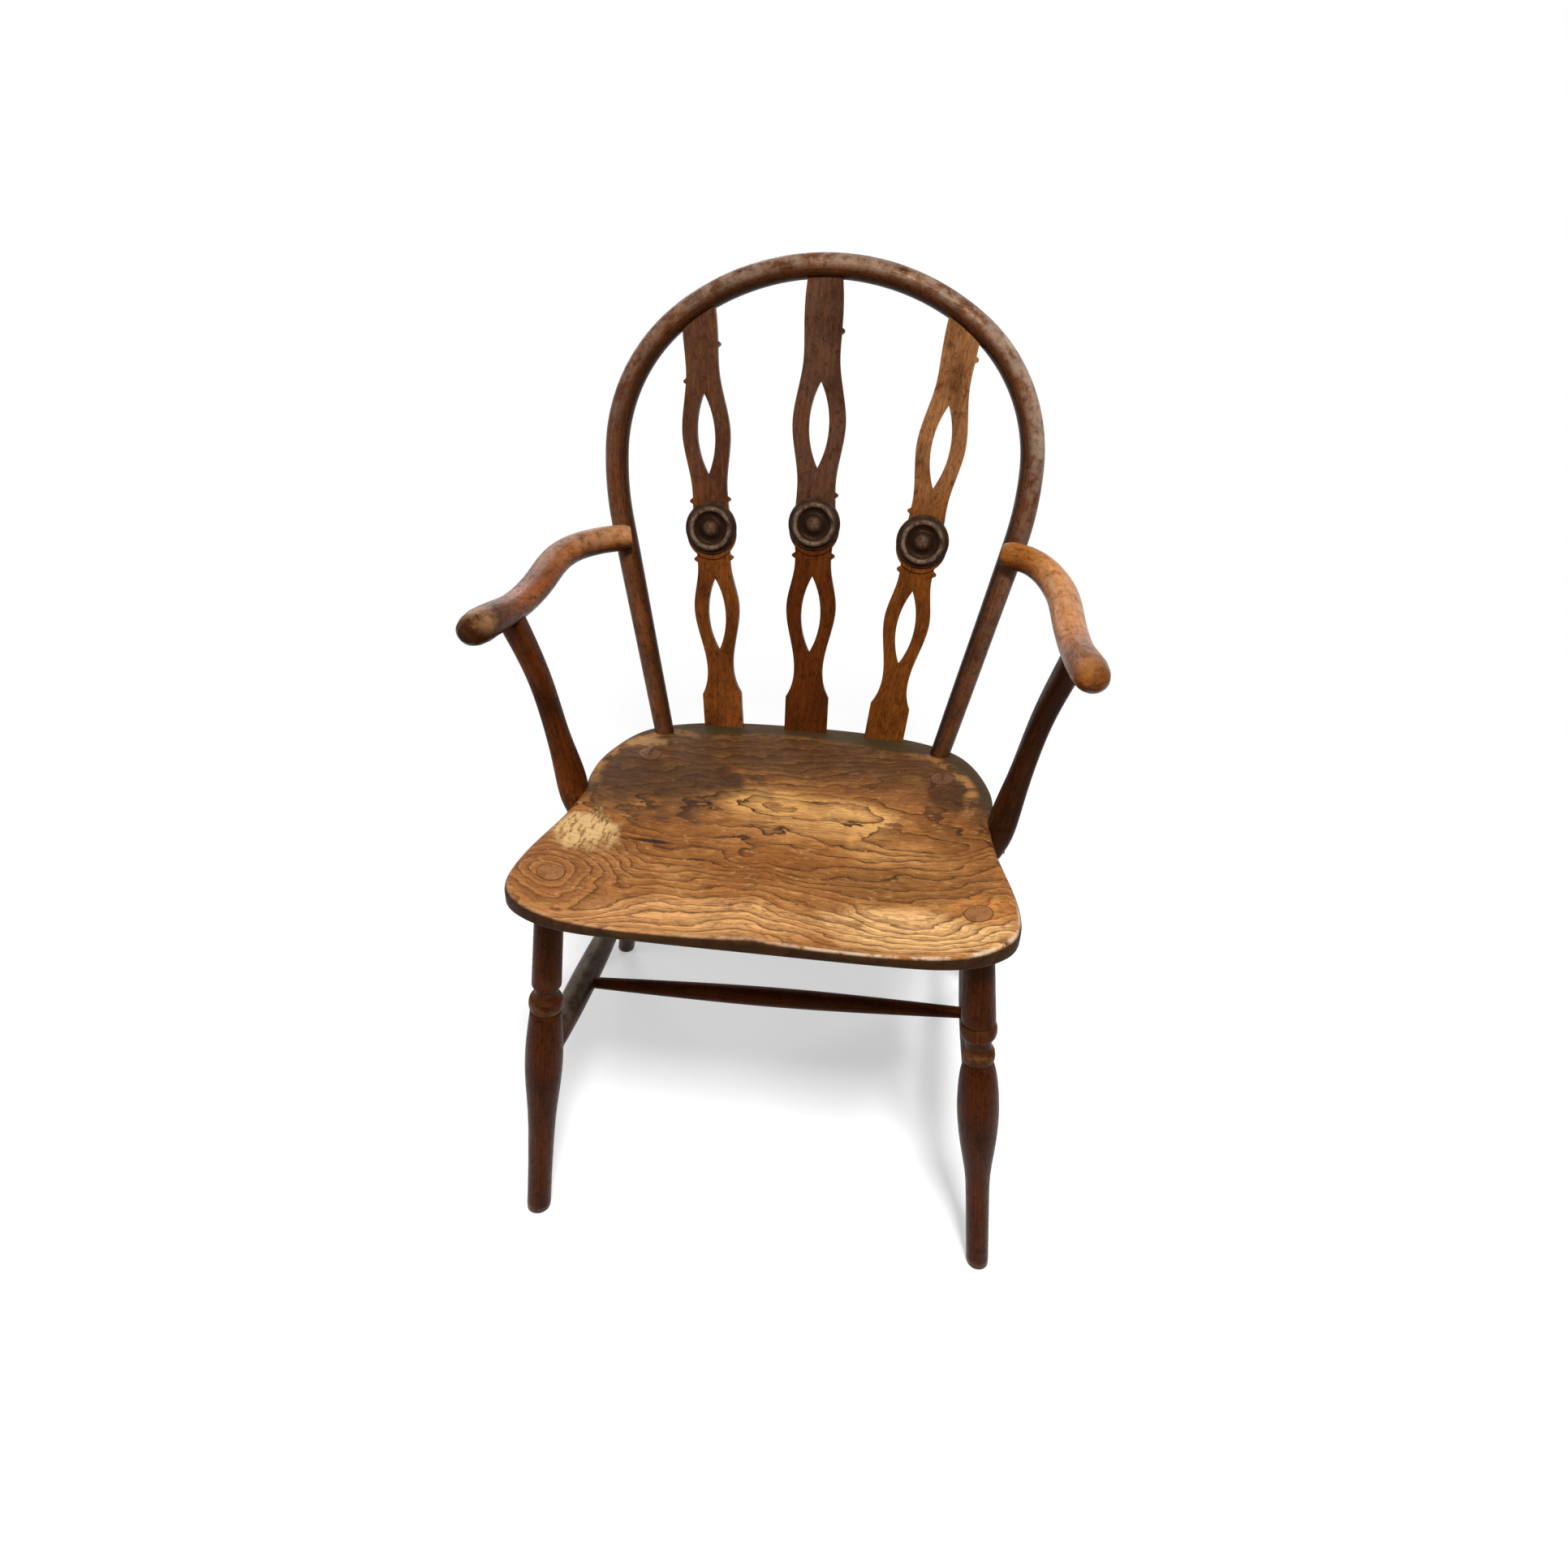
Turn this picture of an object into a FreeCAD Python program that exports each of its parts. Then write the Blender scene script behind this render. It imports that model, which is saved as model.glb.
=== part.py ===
import FreeCAD, Part
import math
import os

# Roundel-back Windsor armchair in turned, bent and sawn wood, millimetres, +Z up.
# The front faces -Y and the mirror plane is x = 0. The origin is on the floor, under the middle
# of the whole chair's bounding box.

V = FreeCAD.Vector
X_AXIS = V(1, 0, 0)
Z_AXIS = V(0, 0, 1)

# Seat plank: sawn to a bell outline with a waist where the arm posts stand
SEAT_FRONT_HEIGHT = 446.0        # top of the plank's front edge above the floor
SEAT_FALL = 4.5                  # degrees that the seat slopes down towards the back
SEAT_THICK = 35.0
SEAT_FRONT = 209.5               # from the seat's middle line to the front edge
SEAT_REAR = 214.0
SEAT_BELL_HALF = 214.5           # half width at the front bell
SEAT_BELL_AT = -128.0
SEAT_WAIST_HALF = 198.5
SEAT_WAIST_AT = 8.0
SEAT_SHOULDER_HALF = 203.0
SEAT_SHOULDER_AT = 70.0
SEAT_REAR_ROUND = ((0.32, 3.0), (0.62, 18.0), (0.80, 43.0))   # share of the bell, short of the rear
SEAT_FRONT_ROUND = ((0.83, 11.0), (0.55, 1.0))                # share of the bell, short of the front
SEAT_QUARTER_IN = 9.0            # inside the shoulder, where the edge turns to the rear
SEAT_QUARTER_BACK = 55.0
SEAT_HIP_OUT = 6.0               # outside the waist, where the edge swings out to the bell
SEAT_HIP_FORWARD = 66.0
SEAT_CHEEK_IN = 9.0              # inside the bell, where the edge turns to the front
SEAT_CHEEK_FORWARD = 50.0
SEAT_EDGE_TOP_ROUND = 9.0        # how far in the top edge is rounded over
SEAT_EDGE_BAND = 7.0             # height of the upright band at the edge
SEAT_EDGE_DOWN = 7.0             # from the top to the upright band
SEAT_UNDERCUT = 28.0             # how far in the bevel under the edge runs

# Saddling: two long thigh hollows and a shallow rear bowl
HOLLOW_DEPTH = 11.0
HOLLOW_OFFSET = 90.0
HOLLOW_HALF_WIDTH = 110.0
HOLLOW_HALF_LENGTH = 260.0
HOLLOW_CENTRE_Y = -105.0
BOWL_DEPTH = 10.0
BOWL_HALF_WIDTH = 186.0
BOWL_HALF_LENGTH = 135.0
BOWL_CENTRE_Y = 38.0
HOLLOW_CAP = 0.8                 # share of the round tool's half width used at the surface

# Legs: where each axis meets the floor and the seat's top, right side
FRONT_FOOT = (231.0, -142.0)
FRONT_TENON = (180.0, -140.0)
REAR_FOOT = (247.0, 286.0)
REAR_TENON = (153.0, 106.0)
LEG_TENON_R = 12.0
LEG_TOP_R = 12.5                 # where the turned leg meets the seat's underside
LEG_BELOW_FLOOR = 14.0           # spare length that the level cut at the floor takes off

# Lathe patterns of the legs, each point a radius and a height along the axis from the floor.
# A curve runs through three points and shares its ends with its neighbours.
ONE_BEAD_FOOT = ((12.6, -LEG_BELOW_FLOOR), (12.4, 90.0))
ONE_BEAD_RISE = ((12.4, 90.0), (13.9, 140.0), (16.4, 178.0))
ONE_BEAD_BODY = ((16.4, 178.0), (17.9, 215.0), (14.4, 282.0))
ONE_BEAD_BEAD = ((14.4, 282.0), (15.6, 290.5), (14.4, 299.0))
ONE_BEAD_COVE = ((11.4, 301.0), (10.6, 306.0), (11.4, 311.0))
ONE_BEAD_COLLAR = (13.6, 313.0)
TWO_BEAD_FOOT = ((11.4, -LEG_BELOW_FLOOR), (11.3, 95.0))
TWO_BEAD_RISE = ((11.3, 95.0), (12.3, 132.0), (16.0, 166.0))
TWO_BEAD_BODY = ((16.0, 166.0), (19.2, 222.0), (17.6, 252.0))
TWO_BEAD_NECK = ((17.6, 252.0), (15.8, 267.0), (12.8, 279.0))
TWO_BEAD_LOWER_BEAD = ((12.8, 279.0), (14.8, 285.5), (12.8, 292.0))
TWO_BEAD_COVE = ((12.8, 292.0), (11.8, 299.5), (12.8, 307.0))
TWO_BEAD_UPPER_BEAD = ((12.8, 307.0), (16.4, 315.5), (12.8, 324.0))
TWO_BEAD_COLLAR = (15.2, 326.0)

# Wedges in the through tenons
WEDGE_LENGTH = 24.0
WEDGE_THICK = 3.4
WEDGE_TIP = 0.8

# Stretchers
SIDE_STRETCHER_FRONT_UP = 216.0
SIDE_STRETCHER_REAR_UP = 170.0
SIDE_STRETCHER_FRONT_R = 10.5
SIDE_STRETCHER_MIDDLE_R = 14.0
SIDE_STRETCHER_REAR_R = 7.2
SIDE_TENON_R = 6.5
SIDE_TENON_REACH = 4.0           # how far the tenon passes the leg's axis
SIDE_SWELL_ALONG = 0.37          # share of its length from the front end to its thickest place
SWELL_STEPS = 6                  # cones from each end to the thickest place
CROSS_ALONG = {"left": 0.365, "right": 0.415}
CROSS_END_R = 5.6
CROSS_MIDDLE_R = 10.4
CROSS_TENON_R = 4.8
CROSS_TENON_REACH = 4.0

# Bow: one bent rod in a plane that leans back
BOW_RECLINE = 19.2               # degrees from upright
BOW_FOOT_HALF = 151.0
BOW_FOOT_BACK = 164.0
BOW_HALF_WIDTH = 215.0
BOW_WIDEST_UP = 298.0
BOW_TOP_UP = 483.0
BOW_HAUNCH_R = 320.0             # bend between the straight leg and the widest place
BOW_SHOULDER_R = 170.0           # bend above the widest place
BOW_R = 12.2
BOW_FOOT_R = 10.2
BOW_TENON_R = 8.5
BOW_SPARE = 14.0                 # rod below the seat's top that the seating cut takes off

# Splats: three sawn boards between the seat and the bow
SPLAT_THICK = 8.0
SPLAT_MORTISE = 14.0             # depth in the seat
SPLAT_BOW_DEPTH = 9.0            # depth in the bow
CENTRE_SPLAT_BACK = 199.0
CENTRE_SPLAT_FOOT = 2.0
CENTRE_SPLAT_HEAD = -8.0         # the middle splat leans a little to one side
SIDE_SPLAT_BACK = 195.0
SIDE_SPLAT_FOOT = 89.5
SIDE_SPLAT_HEAD = 134.5
SIDE_SPLAT_HEAD_UP = 434.0       # where a side splat's axis meets the bow, up the bow's plane
SIDE_SPLAT_SCALE = 0.96          # a side splat's heights against the middle one's
SIDE_SPLAT_NARROW = 0.91         # and its widths
SPLAT_BASE_HALF = 23.6
SPLAT_BASE_UP = 38.0
SPLAT_WAIST_HALF = 15.8
SPLAT_WAIST_UP = 62.0
SPLAT_STEM_HALF = 17.0
SPLAT_STEM_UP = 84.0
SPLAT_LOWER_HALF = 26.6
SPLAT_LOWER_UP = 140.0
SPLAT_NECK_HALF = 19.6
SPLAT_NECK_UP = 178.0
SPLAT_BOSS_HALF = 21.6           # half width behind the roundel
SPLAT_UPPER_NECK_UP = 270.0
SPLAT_UPPER_NECK_HALF = 20.2
SPLAT_UPPER_HALF = 27.6
SPLAT_UPPER_UP = 325.0
SPLAT_SHANK_HALF = 18.8
SPLAT_SHANK_UP = 385.0
SPLAT_TAPER_HALF = 19.2          # where the shank starts to narrow to its head
SPLAT_TAPER_UP = 417.5
SPLAT_HEAD_HALF = 15.2
SPLAT_HEAD_UP = 478.0
LENS_HALF = 10.6
LOWER_LENS = (88.0, 170.0)       # lowest and highest point of the lower piercing
UPPER_LENS = (281.0, 367.0)
NIB_REACH = 3.2                  # fretted spurs on the board's edges
NIB_HALF = 2.6
NIB_TIP_HALF = 1.0
NIB_LOWER_DROP = 33.0            # from the roundel's centre down and up to the nibs beside it
NIB_UPPER_RISE = 30.0
NIB_SHANK_RIGHT_UP = 415.0
NIB_SHANK_LEFT_UP = 379.0

# Roundels: turned bosses on the splats' front faces
ROUNDEL_UP = 224.5
ROUNDEL_R = 27.5
ROUNDEL_FLANGE = 2.6
ROUNDEL_RING_R = 20.2
ROUNDEL_RING_HALF = 4.2
ROUNDEL_HEIGHT = 8.0
ROUNDEL_COVE = 3.6
ROUNDEL_COVE_SINK = 0.8          # how far the cove dips between the ring and the button
ROUNDEL_COVE_RISE = 1.0          # from the cove's edge to the button's edge
ROUNDEL_RIM_ROUND = 1.0
ROUNDEL_SHELF_RISE = 0.4
ROUNDEL_BUTTON_R = 8.4
SCALLOP_DROP = 6.0               # carved scallop that shows below each roundel
SCALLOP_R = 26.5
SCALLOP_THICK = 2.0

# Arms and their posts, right side, as points on each centre line above the floor
ARM_BACK_GAP = 1.0               # from the bow's inner face to the arm's back end
ARM_BACK_UP = {"left": 617.0, "right": 624.0}
ARM_LAP = 5.0                    # how far the arm is housed over the bow's front
ARM_BACK_TURN = 3.0              # how far the back end points behind the lap's line
ARM_PAST_BOW = 8.0               # and how far the arm has come forward outside the bow
ARM_BACK_FALL = 1.0
ARM_WIDE = 29.0
ARM_TALL = 25.0
ARM_ELBOW = (241.0, 168.0, 616.0)
ARM_MIDDLE = (246.0, 82.0, 613.0)
ARM_OVER_POST = (244.0, -6.0, 617.0)
ARM_HAND = (243.0, -66.0, 628.0)
ARM_TIP = (245.0, -99.0, 631.0)
ARM_STATIONS = (                 # share of the arm's length, then of its width and height
    (0.0, 0.84, 0.90), (0.02, 0.97, 1.08), (0.12, 1.05, 1.06), (0.26, 1.08, 1.04),
    (0.42, 1.04, 1.0), (0.58, 1.0, 0.98), (0.72, 0.98, 1.0), (0.84, 1.0, 1.1),
    (0.93, 1.02, 1.16), (0.975, 0.92, 1.0), (1.0, 0.5, 0.56))
STATION_STEPS = 2                # ruled strips between two stations
POST_TOP = (241.0, -14.0)
POST_BEND = (226.0, 2.0, 545.0)
POST_LOW = (217.0, 8.0, 490.0)
POST_FOOT_BACK = 14.0
POST_TOE_IN = 5.0                # the foot's end leans in under the seat's edge
POST_SHORT = 3.0                 # from the foot's end down to the seat's underside
POST_WIDE = 21.0
POST_THICK = 19.0
POST_FOOT_WIDE = 32.0
POST_FOOT_THICK = 25.0
POST_FOOT_STATIONS = (           # share of the post's length, then of the foot's width and thickness
    (0.0, 0.6, 0.6), (0.1, 0.98, 0.94), (0.24, 0.92, 0.96))
POST_STATIONS = (                # and of the post's
    (0.4, 1.04, 1.08), (0.56, 1.0, 1.0), (0.8, 1.02, 1.02), (1.0, 1.14, 1.1))
POST_HOUSED = 3.0                # depth that the post is let into the seat's edge
POST_TENON_R = 8.0
POST_TENON_LENGTH = 14.0
CORNER_R = 6.0

# Screws that hold the arms to the bow and the posts to the seat
SCREW_SHANK_R = 2.2
SCREW_HEAD_R = 4.2
SCREW_HEAD_HEIGHT = 2.6
SCREW_TIP = 4.0
SCREW_SLOT = 1.0
SCREW_PROUD = 0.2                # how far a head stands above the wood
POST_SCREW_LENGTH = 46.0
ARM_SCREW_LENGTH = 34.0
POST_SCREW_SPREAD = 8.0
POST_SCREW_SLANT = 0.4           # how far back the upper screw stands, as a share of the spread

SPARE = 400.0                    # side of the blocks that trim pieces


# General helpers

def unit(vector):
    return V(vector).normalize()


def ring(centre, direction, radius):
    return Part.Wire(Part.makeCircle(radius, centre, direction))


def placed(shape, origin, x_dir, y_dir, z_dir):
    copy = shape.copy()
    turn = FreeCAD.Rotation(x_dir, y_dir, z_dir, "ZXY")
    copy.Placement = FreeCAD.Placement(origin, turn)
    return copy


def mirrored(shape):
    return shape.mirror(V(0, 0, 0), X_AXIS)


def on_side(shape, side):
    """A right-hand shape, or its mirror image for side -1."""
    return shape if side > 0 else mirrored(shape)


def curve_through(points):
    curve = Part.BSplineCurve()
    curve.interpolate([V(*p) for p in points])
    return curve


def spun(edges):
    """Solid of revolution about Z from edges that run from the axis back to the axis."""
    wire = Part.Wire(Part.__sortEdges__(edges))
    ends = wire.OrderedVertexes
    closed = Part.Wire(wire.Edges + [Part.makeLine(ends[-1].Point, ends[0].Point)])
    return Part.Face(closed).revolve(V(0, 0, 0), Z_AXIS, 360)


def along_axis(shape, start, end):
    """Stand a shape made along Z on the line from start to end."""
    direction = unit(end - start)
    level = V(0, 1, 0) if abs(direction.y) < 0.9 else Z_AXIS
    side = unit(direction.cross(level))
    return placed(shape, start, side, direction.cross(side), direction)


# Seat frame: its top plane falls to the back

SEAT_FRAME = FreeCAD.Placement(
    V(0, 0, SEAT_FRONT_HEIGHT - SEAT_FRONT * math.sin(math.radians(SEAT_FALL))),
    FreeCAD.Rotation(X_AXIS, -SEAT_FALL))


def on_seat(x, y, up=0.0):
    return SEAT_FRAME.multVec(V(x, y, up))


def in_seat_frame(shape):
    copy = shape.copy()
    copy.Placement = SEAT_FRAME
    return copy


def seat_half_outline():
    """Points of the right half, from the middle of the back to the middle of the front."""
    bell = SEAT_BELL_HALF
    rear_round = [(bell * share, SEAT_REAR - short) for share, short in SEAT_REAR_ROUND]
    front_round = [(bell * share, short - SEAT_FRONT) for share, short in SEAT_FRONT_ROUND]
    return [(0.0, SEAT_REAR)] + rear_round + [
        (SEAT_SHOULDER_HALF - SEAT_QUARTER_IN, SEAT_SHOULDER_AT + SEAT_QUARTER_BACK),
        (SEAT_SHOULDER_HALF, SEAT_SHOULDER_AT),
        (SEAT_WAIST_HALF, SEAT_WAIST_AT),
        (SEAT_WAIST_HALF + SEAT_HIP_OUT, SEAT_WAIST_AT - SEAT_HIP_FORWARD),
        (bell, SEAT_BELL_AT),
        (bell - SEAT_CHEEK_IN, SEAT_BELL_AT - SEAT_CHEEK_FORWARD),
    ] + front_round + [(0.0, -SEAT_FRONT)]


def seat_wire(inset, height):
    """The outline moved in along its own normals, at one height."""
    half = seat_half_outline()
    loop = half + [(-x, y) for x, y in reversed(half[1:-1])]
    count = len(loop)
    moved = []
    for i, (x, y) in enumerate(loop):
        before, after = loop[i - 1], loop[(i + 1) % count]
        tangent = unit(V(after[0] - before[0], after[1] - before[1], 0))
        moved.append(V(x, y, height) + tangent.cross(Z_AXIS) * inset)
    curve = Part.BSplineCurve()
    curve.interpolate(moved, PeriodicFlag=True)
    return Part.Wire(curve.toShape())


def hollow_tool(centre_x, centre_y, half_width, half_length, depth):
    """Flattened ball whose lowest cap is the hollow."""
    height = depth / (1 - math.sqrt(1 - HOLLOW_CAP ** 2))
    ball = Part.makeSphere(1.0)
    stretch = FreeCAD.Matrix()
    stretch.A11 = half_width / HOLLOW_CAP
    stretch.A22 = half_length / HOLLOW_CAP
    stretch.A33 = height
    stretch.A14 = centre_x
    stretch.A24 = centre_y
    stretch.A34 = height - depth
    return ball.transformGeometry(stretch)


def air_over_seat():
    """Everything above the saddled top, used to dish the plank and to trim tenons flush."""
    block = Part.makeBox(2 * SPARE, 2 * SPARE, SPARE, V(-SPARE, -SPARE, 0))
    tools = [hollow_tool(side * HOLLOW_OFFSET, HOLLOW_CENTRE_Y, HOLLOW_HALF_WIDTH,
                         HOLLOW_HALF_LENGTH, HOLLOW_DEPTH) for side in (-1, 1)]
    tools.append(hollow_tool(0, BOWL_CENTRE_Y, BOWL_HALF_WIDTH, BOWL_HALF_LENGTH, BOWL_DEPTH))
    return in_seat_frame(block.fuse(tools))


def seat_blank():
    """Ruled skin over the outline: bevel below, upright band, and a rounded top edge in two steps."""
    halfway = 1 - math.sqrt(0.5)
    levels = [
        (SEAT_UNDERCUT, -SEAT_THICK),
        (0.0, -SEAT_EDGE_DOWN - SEAT_EDGE_BAND),
        (0.0, -SEAT_EDGE_DOWN),
        (SEAT_EDGE_TOP_ROUND * halfway, -SEAT_EDGE_DOWN * halfway),
        (SEAT_EDGE_TOP_ROUND, 0.0),
    ]
    return in_seat_frame(Part.makeLoft([seat_wire(*level) for level in levels], True, True))


# Legs: turned, round tenon through the seat, foot cut level with the floor

def dome(radius, low, top):
    """Arc centred on the axis, from its rim up to the axis."""
    rise = top - low
    ball = (radius ** 2 + rise ** 2) / (2 * rise)
    halfway = radius / 2
    middle = V(halfway, 0, top - ball + math.sqrt(ball ** 2 - halfway ** 2))
    return Part.Arc(V(radius, 0, low), middle, V(0, 0, top)).toShape()


def curve(points):
    """Arc through three points, each a radius and a height."""
    return Part.Arc(*(V(radius, 0, height) for radius, height in points)).toShape()


def line(start, end):
    return Part.makeLine(V(start[0], 0, start[1]), V(end[0], 0, end[1]))


def one_bead_leg(length):
    """Plain top, cove, one bead, then a body that swells at the stretcher."""
    foot, top = ONE_BEAD_FOOT[0], (LEG_TOP_R, length)
    return spun([
        line((0, foot[1]), foot),
        line(*ONE_BEAD_FOOT),
        curve(ONE_BEAD_RISE),
        curve(ONE_BEAD_BODY),
        curve(ONE_BEAD_BEAD),
        line(ONE_BEAD_BEAD[-1], ONE_BEAD_COVE[0]),
        curve(ONE_BEAD_COVE),
        line(ONE_BEAD_COVE[-1], ONE_BEAD_COLLAR),
        line(ONE_BEAD_COLLAR, top),
        line(top, (0, length)),
    ])


def two_bead_leg(length):
    """Plain top, two beads with a cove between them, and a vase-shaped body."""
    foot, top = TWO_BEAD_FOOT[0], (LEG_TOP_R, length)
    return spun([
        line((0, foot[1]), foot),
        line(*TWO_BEAD_FOOT),
        curve(TWO_BEAD_RISE),
        curve(TWO_BEAD_BODY),
        curve(TWO_BEAD_NECK),
        curve(TWO_BEAD_LOWER_BEAD),
        curve(TWO_BEAD_COVE),
        curve(TWO_BEAD_UPPER_BEAD),
        line(TWO_BEAD_UPPER_BEAD[-1], TWO_BEAD_COLLAR),
        line(TWO_BEAD_COLLAR, top),
        line(top, (0, length)),
    ])


def leg_line(foot, tenon, side):
    return V(side * foot[0], foot[1], 0), on_seat(side * tenon[0], tenon[1])


def leg_point(foot, tenon, side, up):
    low, high = leg_line(foot, tenon, side)
    return low + (high - low) * (up / high.z)


def wedge(top, direction, radius):
    """A thin wedge driven down a tenon's end, across the seat's grain."""
    half = radius + 1
    section = Part.makePolygon([
        V(-WEDGE_TIP / 2, 0, -WEDGE_LENGTH), V(WEDGE_TIP / 2, 0, -WEDGE_LENGTH),
        V(WEDGE_THICK / 2, 0, 0), V(-WEDGE_THICK / 2, 0, 0),
        V(-WEDGE_TIP / 2, 0, -WEDGE_LENGTH)])
    body = Part.Face(section).extrude(V(0, 2 * half, 0))
    body.translate(V(0, -half, 0))
    round_limit = Part.makeCylinder(radius, 2 * WEDGE_LENGTH, V(0, 0, -1.5 * WEDGE_LENGTH))
    return along_axis(body.common(round_limit), top, top + direction)


# Turned rods that swell between their ends

def swelling_rod(start, end, start_r, middle_r, end_r, middle_at):
    """Rod of short cones whose radius falls with the square of the distance from its thickest place."""
    length = (end - start).Length
    thickest = middle_at * length
    profile = []
    for i in range(-SWELL_STEPS, SWELL_STEPS + 1):
        way = i / SWELL_STEPS
        neck, reach = (start_r, thickest) if i < 0 else (end_r, length - thickest)
        profile.append((middle_r - (middle_r - neck) * way ** 2, thickest + reach * way))
    points = [(0, 0)] + profile + [(0, length)]
    return along_axis(spun([line(*pair) for pair in zip(points, points[1:])]), start, end)


def tenon_rod(start, end, radius, reach):
    """Both tenons of a rod as one dowel, which passes each end point by its reach."""
    direction = unit(end - start)
    length = (end - start).Length + 2 * reach
    return Part.makeCylinder(radius, length, start - direction * reach, direction)


# Bow

BOW_UP = V(0, math.sin(math.radians(BOW_RECLINE)), math.cos(math.radians(BOW_RECLINE)))
BOW_ORIGIN = on_seat(0, BOW_FOOT_BACK)
BOW_NORMAL = X_AXIS.cross(BOW_UP)

BOW_SHOULDER_CENTRE = (BOW_HALF_WIDTH - BOW_SHOULDER_R, BOW_WIDEST_UP)
BOW_HAUNCH_CENTRE = (BOW_HALF_WIDTH - BOW_HAUNCH_R, BOW_WIDEST_UP)


def on_bow(x, up):
    return BOW_ORIGIN + X_AXIS * x + BOW_UP * up


def crown_radius():
    """Radius of the arc over the top that is tangent to both shoulders."""
    across = BOW_SHOULDER_CENTRE[0]
    rise = BOW_TOP_UP - BOW_WIDEST_UP
    return (across ** 2 + rise ** 2 - BOW_SHOULDER_R ** 2) / (2 * (rise - BOW_SHOULDER_R))


def bow_knee():
    """Where the straight leg from the foot touches the haunch's circle."""
    to_x = BOW_HAUNCH_CENTRE[0] - BOW_FOOT_HALF
    to_up = BOW_HAUNCH_CENTRE[1]
    distance = math.hypot(to_x, to_up)
    turn = math.asin(BOW_HAUNCH_R / distance)
    slope = math.atan2(to_up, to_x) - turn
    length = distance * math.cos(turn)
    return BOW_FOOT_HALF + length * math.cos(slope), length * math.sin(slope), slope


BOW_KNEE_HALF, BOW_KNEE_UP, BOW_LEG_SLOPE = bow_knee()


def bent_length(centre, radius, start_angle, end_angle):
    """Round rod bent to an arc in the bow's plane, angles from the horizontal in radians."""
    start = on_bow(centre[0] + radius * math.cos(start_angle), centre[1] + radius * math.sin(start_angle))
    along = X_AXIS * -math.sin(start_angle) + BOW_UP * math.cos(start_angle)
    face = Part.Face(ring(start, along, BOW_R))
    return face.revolve(on_bow(*centre), BOW_NORMAL, math.degrees(end_angle - start_angle))


def bow_rod():
    """Tapered straight legs, haunches, shoulders and crown, each bent to one arc."""
    knee = on_bow(BOW_KNEE_HALF, BOW_KNEE_UP)
    spare = on_bow(BOW_FOOT_HALF - BOW_SPARE / math.tan(BOW_LEG_SLOPE), -BOW_SPARE)
    leg = Part.makeCone(BOW_FOOT_R, BOW_R, (knee - spare).Length, spare, knee - spare)
    crown = crown_radius()
    crown_centre = (0, BOW_TOP_UP - crown)
    joint = math.atan2(BOW_WIDEST_UP - crown_centre[1], BOW_SHOULDER_CENTRE[0])
    haunch = bent_length(BOW_HAUNCH_CENTRE, BOW_HAUNCH_R, BOW_LEG_SLOPE - math.pi / 2, 0)
    shoulder = bent_length(BOW_SHOULDER_CENTRE, BOW_SHOULDER_R, 0, joint)
    half = [leg, haunch, shoulder]
    top = bent_length(crown_centre, crown, joint, math.pi - joint)
    return top.fuse(half + [mirrored(piece) for piece in half]).removeSplitter()


def inside_bow():
    """Slab inside the bow, up to the mortises' depth, which trims the splats' heads."""
    inset = BOW_R - SPLAT_BOW_DEPTH
    crown = crown_radius()
    crown_up = BOW_TOP_UP - crown
    joint = math.atan2(BOW_WIDEST_UP - crown_up, BOW_SHOULDER_CENTRE[0])
    shoulder = BOW_SHOULDER_R - inset

    def on_shoulder(side, angle):
        return on_bow(side * (BOW_SHOULDER_CENTRE[0] + shoulder * math.cos(angle)),
                      BOW_WIDEST_UP + shoulder * math.sin(angle))

    edges = [Part.Arc(on_shoulder(1, joint), on_bow(0, BOW_TOP_UP - inset), on_shoulder(-1, joint)).toShape()]
    for side in (1, -1):
        places = [on_shoulder(side, angle) for angle in (0, joint / 2, joint)]
        edges.append(Part.Arc(*places).toShape())
        low = on_bow(side * (BOW_HALF_WIDTH - inset), -2 * SEAT_THICK)
        edges.append(Part.makeLine(on_shoulder(side, 0), low))
    edges.append(Part.makeLine(edges[2].Vertexes[-1].Point, edges[4].Vertexes[-1].Point))
    face = Part.Face(Part.Wire(Part.__sortEdges__(edges)))
    slab = face.extrude(BOW_NORMAL * SPARE)
    slab.translate(BOW_NORMAL * (-SPARE / 2))
    return slab


# Splats

def splat_pattern(scale, narrow):
    """Half widths up the board from the shoulder of its base to its head."""
    return [(half * narrow, up * scale) for half, up in (
        (SPLAT_BASE_HALF, SPLAT_BASE_UP),
        (SPLAT_WAIST_HALF, SPLAT_WAIST_UP),
        (SPLAT_STEM_HALF, SPLAT_STEM_UP),
        (SPLAT_LOWER_HALF, SPLAT_LOWER_UP),
        (SPLAT_NECK_HALF, SPLAT_NECK_UP),
        (SPLAT_BOSS_HALF, ROUNDEL_UP),
        (SPLAT_UPPER_NECK_HALF, SPLAT_UPPER_NECK_UP),
        (SPLAT_UPPER_HALF, SPLAT_UPPER_UP),
        (SPLAT_SHANK_HALF, SPLAT_SHANK_UP),
        (SPLAT_TAPER_HALF, SPLAT_TAPER_UP),
        (SPLAT_HEAD_HALF, SPLAT_HEAD_UP),
    )]


def lens(low, high, half):
    """Pointed oval piercing from two arcs."""
    middle = (low + high) / 2
    sides = [Part.Arc(V(0, 0, low), V(side * half, 0, middle), V(0, 0, high)).toShape()
             for side in (-1, 1)]
    return Part.Face(Part.Wire(sides)).extrude(V(0, 2 * SPLAT_THICK, 0))


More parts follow.
